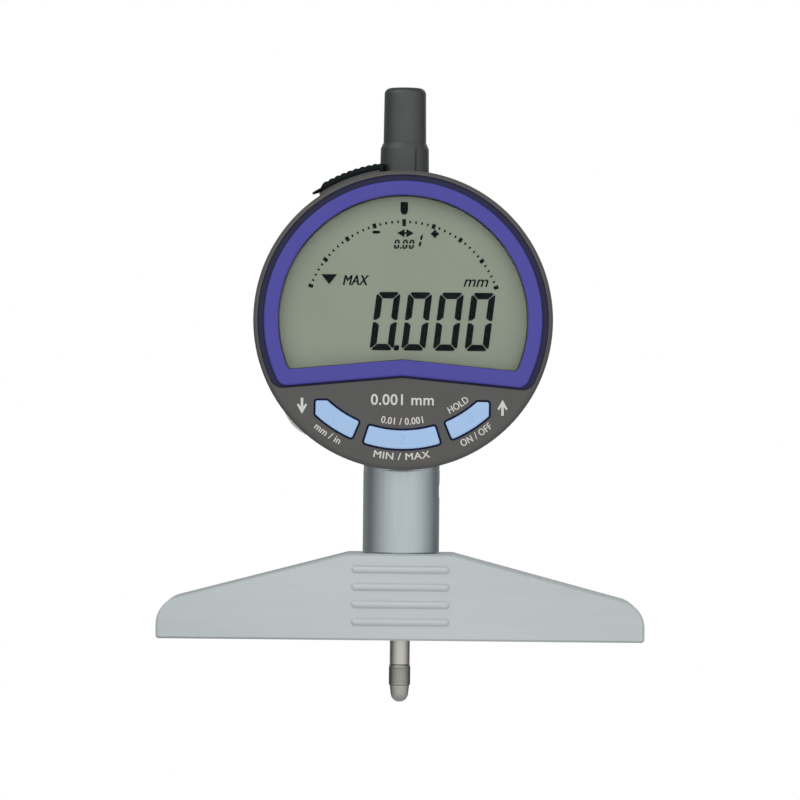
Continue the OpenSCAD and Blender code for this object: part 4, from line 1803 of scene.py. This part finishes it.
@dataclass
class PortCover:
    """The soft cover over the output port, one piece of rubber that bends beside the top sleeve.

    It has rope-like ribs, a thin pull tab and a plug. Sizes are in millimetres and degrees.
    """

    shop: Workshop
    sleeve_radius: float
    case_radius: float = 31.0
    pad_radius: float = 31.8
    pad_start: float = 99.5
    high_radius: float = 33.15
    gap: float = 0.03
    root_reach: float = 4.45
    ribs_start: float = 99.6
    hinge_angle: float = 101.4
    hinge_radius: float = 32.38
    bend_length: float = 1.6
    body_end: float = 121.2
    tab_start: float = 122.4
    tab_end: float = 125.9
    half_width: float = 4.6
    tab_half_width: float = 3.0
    rib_pitch: float = 2.4
    rib_height: float = 0.14
    rib_side: float = 0.18
    steps_per_rib: int = 8
    corner: float = 0.4
    corner_steps: int = 4
    side_spans: tuple[float, ...] = (-0.75, -0.45, -0.15, 0.15, 0.45, 0.75)
    tab_low: Point = (0.2, 0.85)
    tab_high: Point = (0.95, 1.1)
    tab_taper: float = 0.25
    tab_corner: float = 0.45
    tab_steps: int = 6
    port_angle: float = 112.4
    plug_size: Place = (7.0, 2.2, 1.6)
    plug_sink: float = 0.7
    plug_shift: float = 0.15
    plug_round: float = 0.25

    def _profile(self, low: float, high: float, half: float, corner: float) -> list[Point]:
        """A rounded rectangle across the cover, as radius and place along the gauge's depth.

        Args:
            low: Its inner radius.
            high: Its outer radius.
            half: Its half width.
            corner: The radius of its corners.

        Returns:
            The rectangle's points. Every profile has the same number of them.
        """
        spans = [half * share for share in self.side_spans]
        outer = [(high, -half), *((high, span) for span in spans), (high, half)]
        inner = [(low, half), *((low, span) for span in reversed(spans)), (low, -half)]
        return rounded([*outer, *inner], corner, steps=self.corner_steps)

    def _section(self, bm: BMesh, degrees: float, profile: Iterable[Point]) -> Edges:
        """Adds one section across the cover, square to the rim.

        Args:
            bm: The mesh.
            degrees: The section's angle.
            profile: Its points.

        Returns:
            The section's edges.
        """
        return ring(bm, [(*polar(radius, degrees), across) for radius, across in profile])

    def _foot(self, bm: BMesh) -> Edges:
        """Adds the end that lies against the sleeve.

        Args:
            bm: The mesh.

        Returns:
            The end's edges.
        """
        room = self.sleeve_radius + self.gap
        profile = self._profile(self.case_radius + self.gap, self.high_radius, self.half_width, self.corner)
        places = []
        for radius, across in profile:
            x = -max(math.sqrt(room * room - across * across), self.root_reach)
            places.append((x, math.sqrt(radius * radius - x * x), across))
        return ring(bm, places)

    def _strip(self, bm: BMesh) -> None:
        """Builds the ribbed strip, from the sleeve to the tip of its tab.

        Args:
            bm: The mesh that grows.
        """
        on_case, on_pad = self.case_radius + self.gap, self.pad_radius + self.gap
        root = self._profile(on_case, self.high_radius, self.half_width, self.corner)
        sections = [self._foot(bm), self._section(bm, self.pad_start - self.gap, root)]
        count = round((self.body_end - self.ribs_start) / self.rib_pitch * self.steps_per_rib)
        for step in range(count + 1):
            degrees = self.ribs_start + (self.body_end - self.ribs_start) * step / count
            wave = abs(math.sin(math.pi * (degrees - self.body_end) / self.rib_pitch))
            high = self.high_radius + self.rib_height * (wave * 1.5 - 0.5)  # round crests, sharp valleys
            half = self.half_width - self.rib_side * (1 - wave)
            sections.append(self._section(bm, degrees, self._profile(on_pad, high, half, self.corner)))
        for step in range(self.tab_steps + 1):
            share = step / self.tab_steps
            degrees = self.tab_start + (self.tab_end - self.tab_start) * share
            low = self.pad_radius + self.tab_low[0] + (self.tab_low[1] - self.tab_low[0]) * share
            high = self.pad_radius + self.tab_high[0] + (self.tab_high[1] - self.tab_high[0]) * share
            half = self.tab_half_width * (1 - self.tab_taper * share * share)
            profile = self._profile(low, high, half, self.tab_corner * (high - low))
            sections.append(self._section(bm, degrees, profile))
        loft(bm, sections)

    def _plug(self, bm: BMesh) -> None:
        """Adds the plug that keeps the cover in the port.

        Args:
            bm: The mesh that grows.
        """
        turn = Matrix.Rotation(math.radians(self.port_angle - 90), 4, "Z")
        place = Matrix.Translation((0.0, self.pad_radius - self.plug_sink, self.plug_shift))
        size = Matrix.Diagonal((*self.plug_size, 1))
        made = bmesh.ops.create_cube(bm, size=1.0, matrix=turn @ place @ size)
        edges = {edge for vert in made["verts"] for edge in vert.link_edges}
        round_over(bm, edges, self.plug_round, segments=3)

    def _hinge(self) -> Bend:
        """Places the short stretch beside the sleeve along which the rubber bends.

        Returns:
            The bend.
        """
        hinge = Vector(polar(self.hinge_radius, self.hinge_angle))
        along = Vector(polar(self.bend_length / 2, self.hinge_angle + 90))
        return Bend(FLAP, tuple(hinge - along), tuple(hinge + along))

    def build(self) -> None:
        """Builds the cover and its root in place of the CAD's plain ones."""
        bm = bmesh.new()
        self._strip(bm)
        self._plug(bm)
        self.shop.piece(
            bm,
            "ribbed_port_cover",
            "black_rubber",
            GAUGE,
            self.shop.head,
            ("port_cover", "port_cover_root"),
            "black_rubber",
            sharp=50,
            bend=self._hinge(),
        )


# ---- studio ----------------------------------------------------------------


@dataclass(frozen=True)
class Lamp:
    """A soft light: its name, where it hangs, its width and height in metres, and its power in watts."""

    name: str
    place: Place
    width: float
    height: float
    power: float


@dataclass
class Studio:
    """The camera, the soft lights and the pale floor. Sizes are in metres.

    The surroundings light the gauge by the cosine to bright_way: dim up to dim_to and bright from bright_from
    on, and on the far side behind from behind_from on.
    """

    lowest: float
    floor_gap: float = 0.00005
    floor_radius: float = 6.0
    floor_sides: int = 96
    floor_share: float = 0.6
    aim_z: float = 0.060
    eye: Place = (-0.00048, -0.908, 0.0500)
    roll: float = 0.58
    lens: float = 195.0
    sensor: float = 36.0
    near: float = 0.01
    far: float = 50.0
    bright_way: Place = (0.14, -0.98, -0.1)
    dim_to: float = -0.37
    dim: float = 0.19
    bright_from: float = 0.92
    bright: float = 1.33
    behind_to: float = -0.5
    behind_from: float = -0.95
    behind: float = 0.25
    lamps: tuple[Lamp, ...] = (
        Lamp("high_left", (-0.75, -0.45, 0.85), 1.1, 1.1, 3.2),
        Lamp("behind", (0.35, 1.0, 0.45), 0.8, 0.6, 0.8),
    )

    def camera(self) -> None:
        """Sets the camera level in front of the display, turned a little about its own axis."""
        data = bpy.data.cameras.new("camera")
        data.lens = self.lens
        data.sensor_width = self.sensor
        data.clip_start = self.near
        data.clip_end = self.far
        camera = bpy.data.objects.new("camera", data)
        level = Matrix.Rotation(math.radians(90), 4, "X")
        roll = Matrix.Rotation(math.radians(self.roll), 4, "Z")
        camera.matrix_world = Matrix.Translation(self.eye) @ level @ roll
        bpy.context.scene.collection.objects.link(camera)
        bpy.context.scene.camera = camera

    def light(self, lamp: Lamp) -> None:
        """Hangs a soft light that points at the gauge.

        Args:
            lamp: The light.
        """
        data = bpy.data.lights.new(lamp.name, "AREA")
        data.shape = "RECTANGLE"
        data.size = lamp.width
        data.size_y = lamp.height
        data.energy = lamp.power
        hung = bpy.data.objects.new(lamp.name, data)
        hung.location = lamp.place
        aim = Vector((0.0, 0.0, self.aim_z)) - Vector(lamp.place)
        hung.rotation_euler = aim.to_track_quat("-Z", "Y").to_euler()
        bpy.context.scene.collection.objects.link(hung)

    def _glow(self, sheet: NodeSheet, way: Socket, share: float = 1.0) -> Socket:
        """How bright the studio is in a direction, and plain white where the camera looks straight at it.

        Args:
            sheet: The sheet that the nodes go onto.
            way: The direction, of length one.
            share: How much of the brightness counts.

        Returns:
            The brightness as a colour.
        """
        toward = sheet.agreement(way, Vector(self.bright_way).normalized())
        front = sheet.spread(toward, self.dim_to, self.bright_from, self.dim, self.bright)
        back = sheet.spread(toward, self.behind_to, self.behind_from, 0.0, self.behind)
        level = sheet.maths("MULTIPLY", sheet.maths("ADD", front, back), share)
        return sheet.mix(sheet.add("ShaderNodeLightPath").outputs["Is Camera Ray"], level, WHITE)

    def world(self) -> None:
        """Makes the surroundings white to look at, with the studio's own brightness as their light."""
        world = bpy.data.worlds.new("studio")
        bpy.context.scene.world = world
        sheet = NodeSheet.cleared(world)
        glow = self._glow(sheet, sheet.add("ShaderNodeTexCoord").outputs["Generated"])
        background = sheet.add("ShaderNodeBackground", {"Color": glow})
        sheet.show(background.outputs[0], "ShaderNodeOutputWorld")

    def floor(self) -> None:
        """Lays a pale floor just under the contact point, lit as evenly as a light table."""
        bm = bmesh.new()
        bmesh.ops.create_circle(bm, cap_ends=True, segments=self.floor_sides, radius=self.floor_radius)
        bmesh.ops.translate(bm, verts=bm.verts, vec=(0.0, 0.0, self.lowest - self.floor_gap))
        mesh = bpy.data.meshes.new("floor")
        bm.to_mesh(mesh)
        bm.free()
        material = bpy.data.materials.new("pale_floor")
        sheet = NodeSheet.cleared(material)
        way = sheet.add("ShaderNodeVectorMath", operation="NORMALIZE")
        sheet.feed(way.inputs[0], sheet.add("ShaderNodeTexCoord").outputs["Object"])
        glow = self._glow(sheet, way.outputs["Vector"], self.floor_share)
        sheet.show(sheet.add("ShaderNodeEmission", {"Color": glow}).outputs[0])
        mesh.materials.append(material)
        floor = bpy.data.objects.new("floor", mesh)
        bpy.context.scene.collection.objects.link(floor)

    def build(self) -> None:
        """Sets up the camera, lights, surroundings and floor."""
        bpy.context.scene.view_settings.view_transform = "Standard"
        self.camera()
        self.world()
        self.floor()
        for lamp in self.lamps:
            self.light(lamp)


def main() -> None:
    """Loads the frame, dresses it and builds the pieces."""
    logging.basicConfig(level=logging.INFO, format="%(message)s")
    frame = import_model()

    cover_low, cover_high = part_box("rear_cover")
    head_centre = Vector((0.0, 0.0, (cover_low.z + cover_high.z) / 2))
    case_front = -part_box("front_case")[0].y / MM
    frame_low, frame_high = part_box("display_frame")
    point_low, point_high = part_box("contact_point")

    palette = Palette()
    palette.dress(frame["nodes"])
    shop = Workshop(palette, head_centre)
    Studio(lowest=point_low.z).build()
    Display(shop, front=-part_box("lcd_glass")[0].y / MM).build()
    DisplayFrame(shop, seat=-frame_high.y / MM, front=-frame_low.y / MM).build()
    FacePrint(shop, face=case_front).build()
    Keys(shop, top=-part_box("middle_key")[0].y / MM).build()
    spring_low, spring_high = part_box("return_spring")
    ReturnSpring(shop, spring_low.z / MM, spring_high.z / MM, outer_radius=spring_high.x / MM).build()
    neck_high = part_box("neck_tube")[1]
    NeckSeam(shop, radius=neck_high.x / MM, top=neck_high.z / MM).build()
    PortCover(shop, sleeve_radius=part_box("top_sleeve")[1].x / MM).build()
    ContactPoint(shop, tip=point_low.z / MM, shank_top=point_high.z / MM).build()


if __name__ == "__main__":
    main()
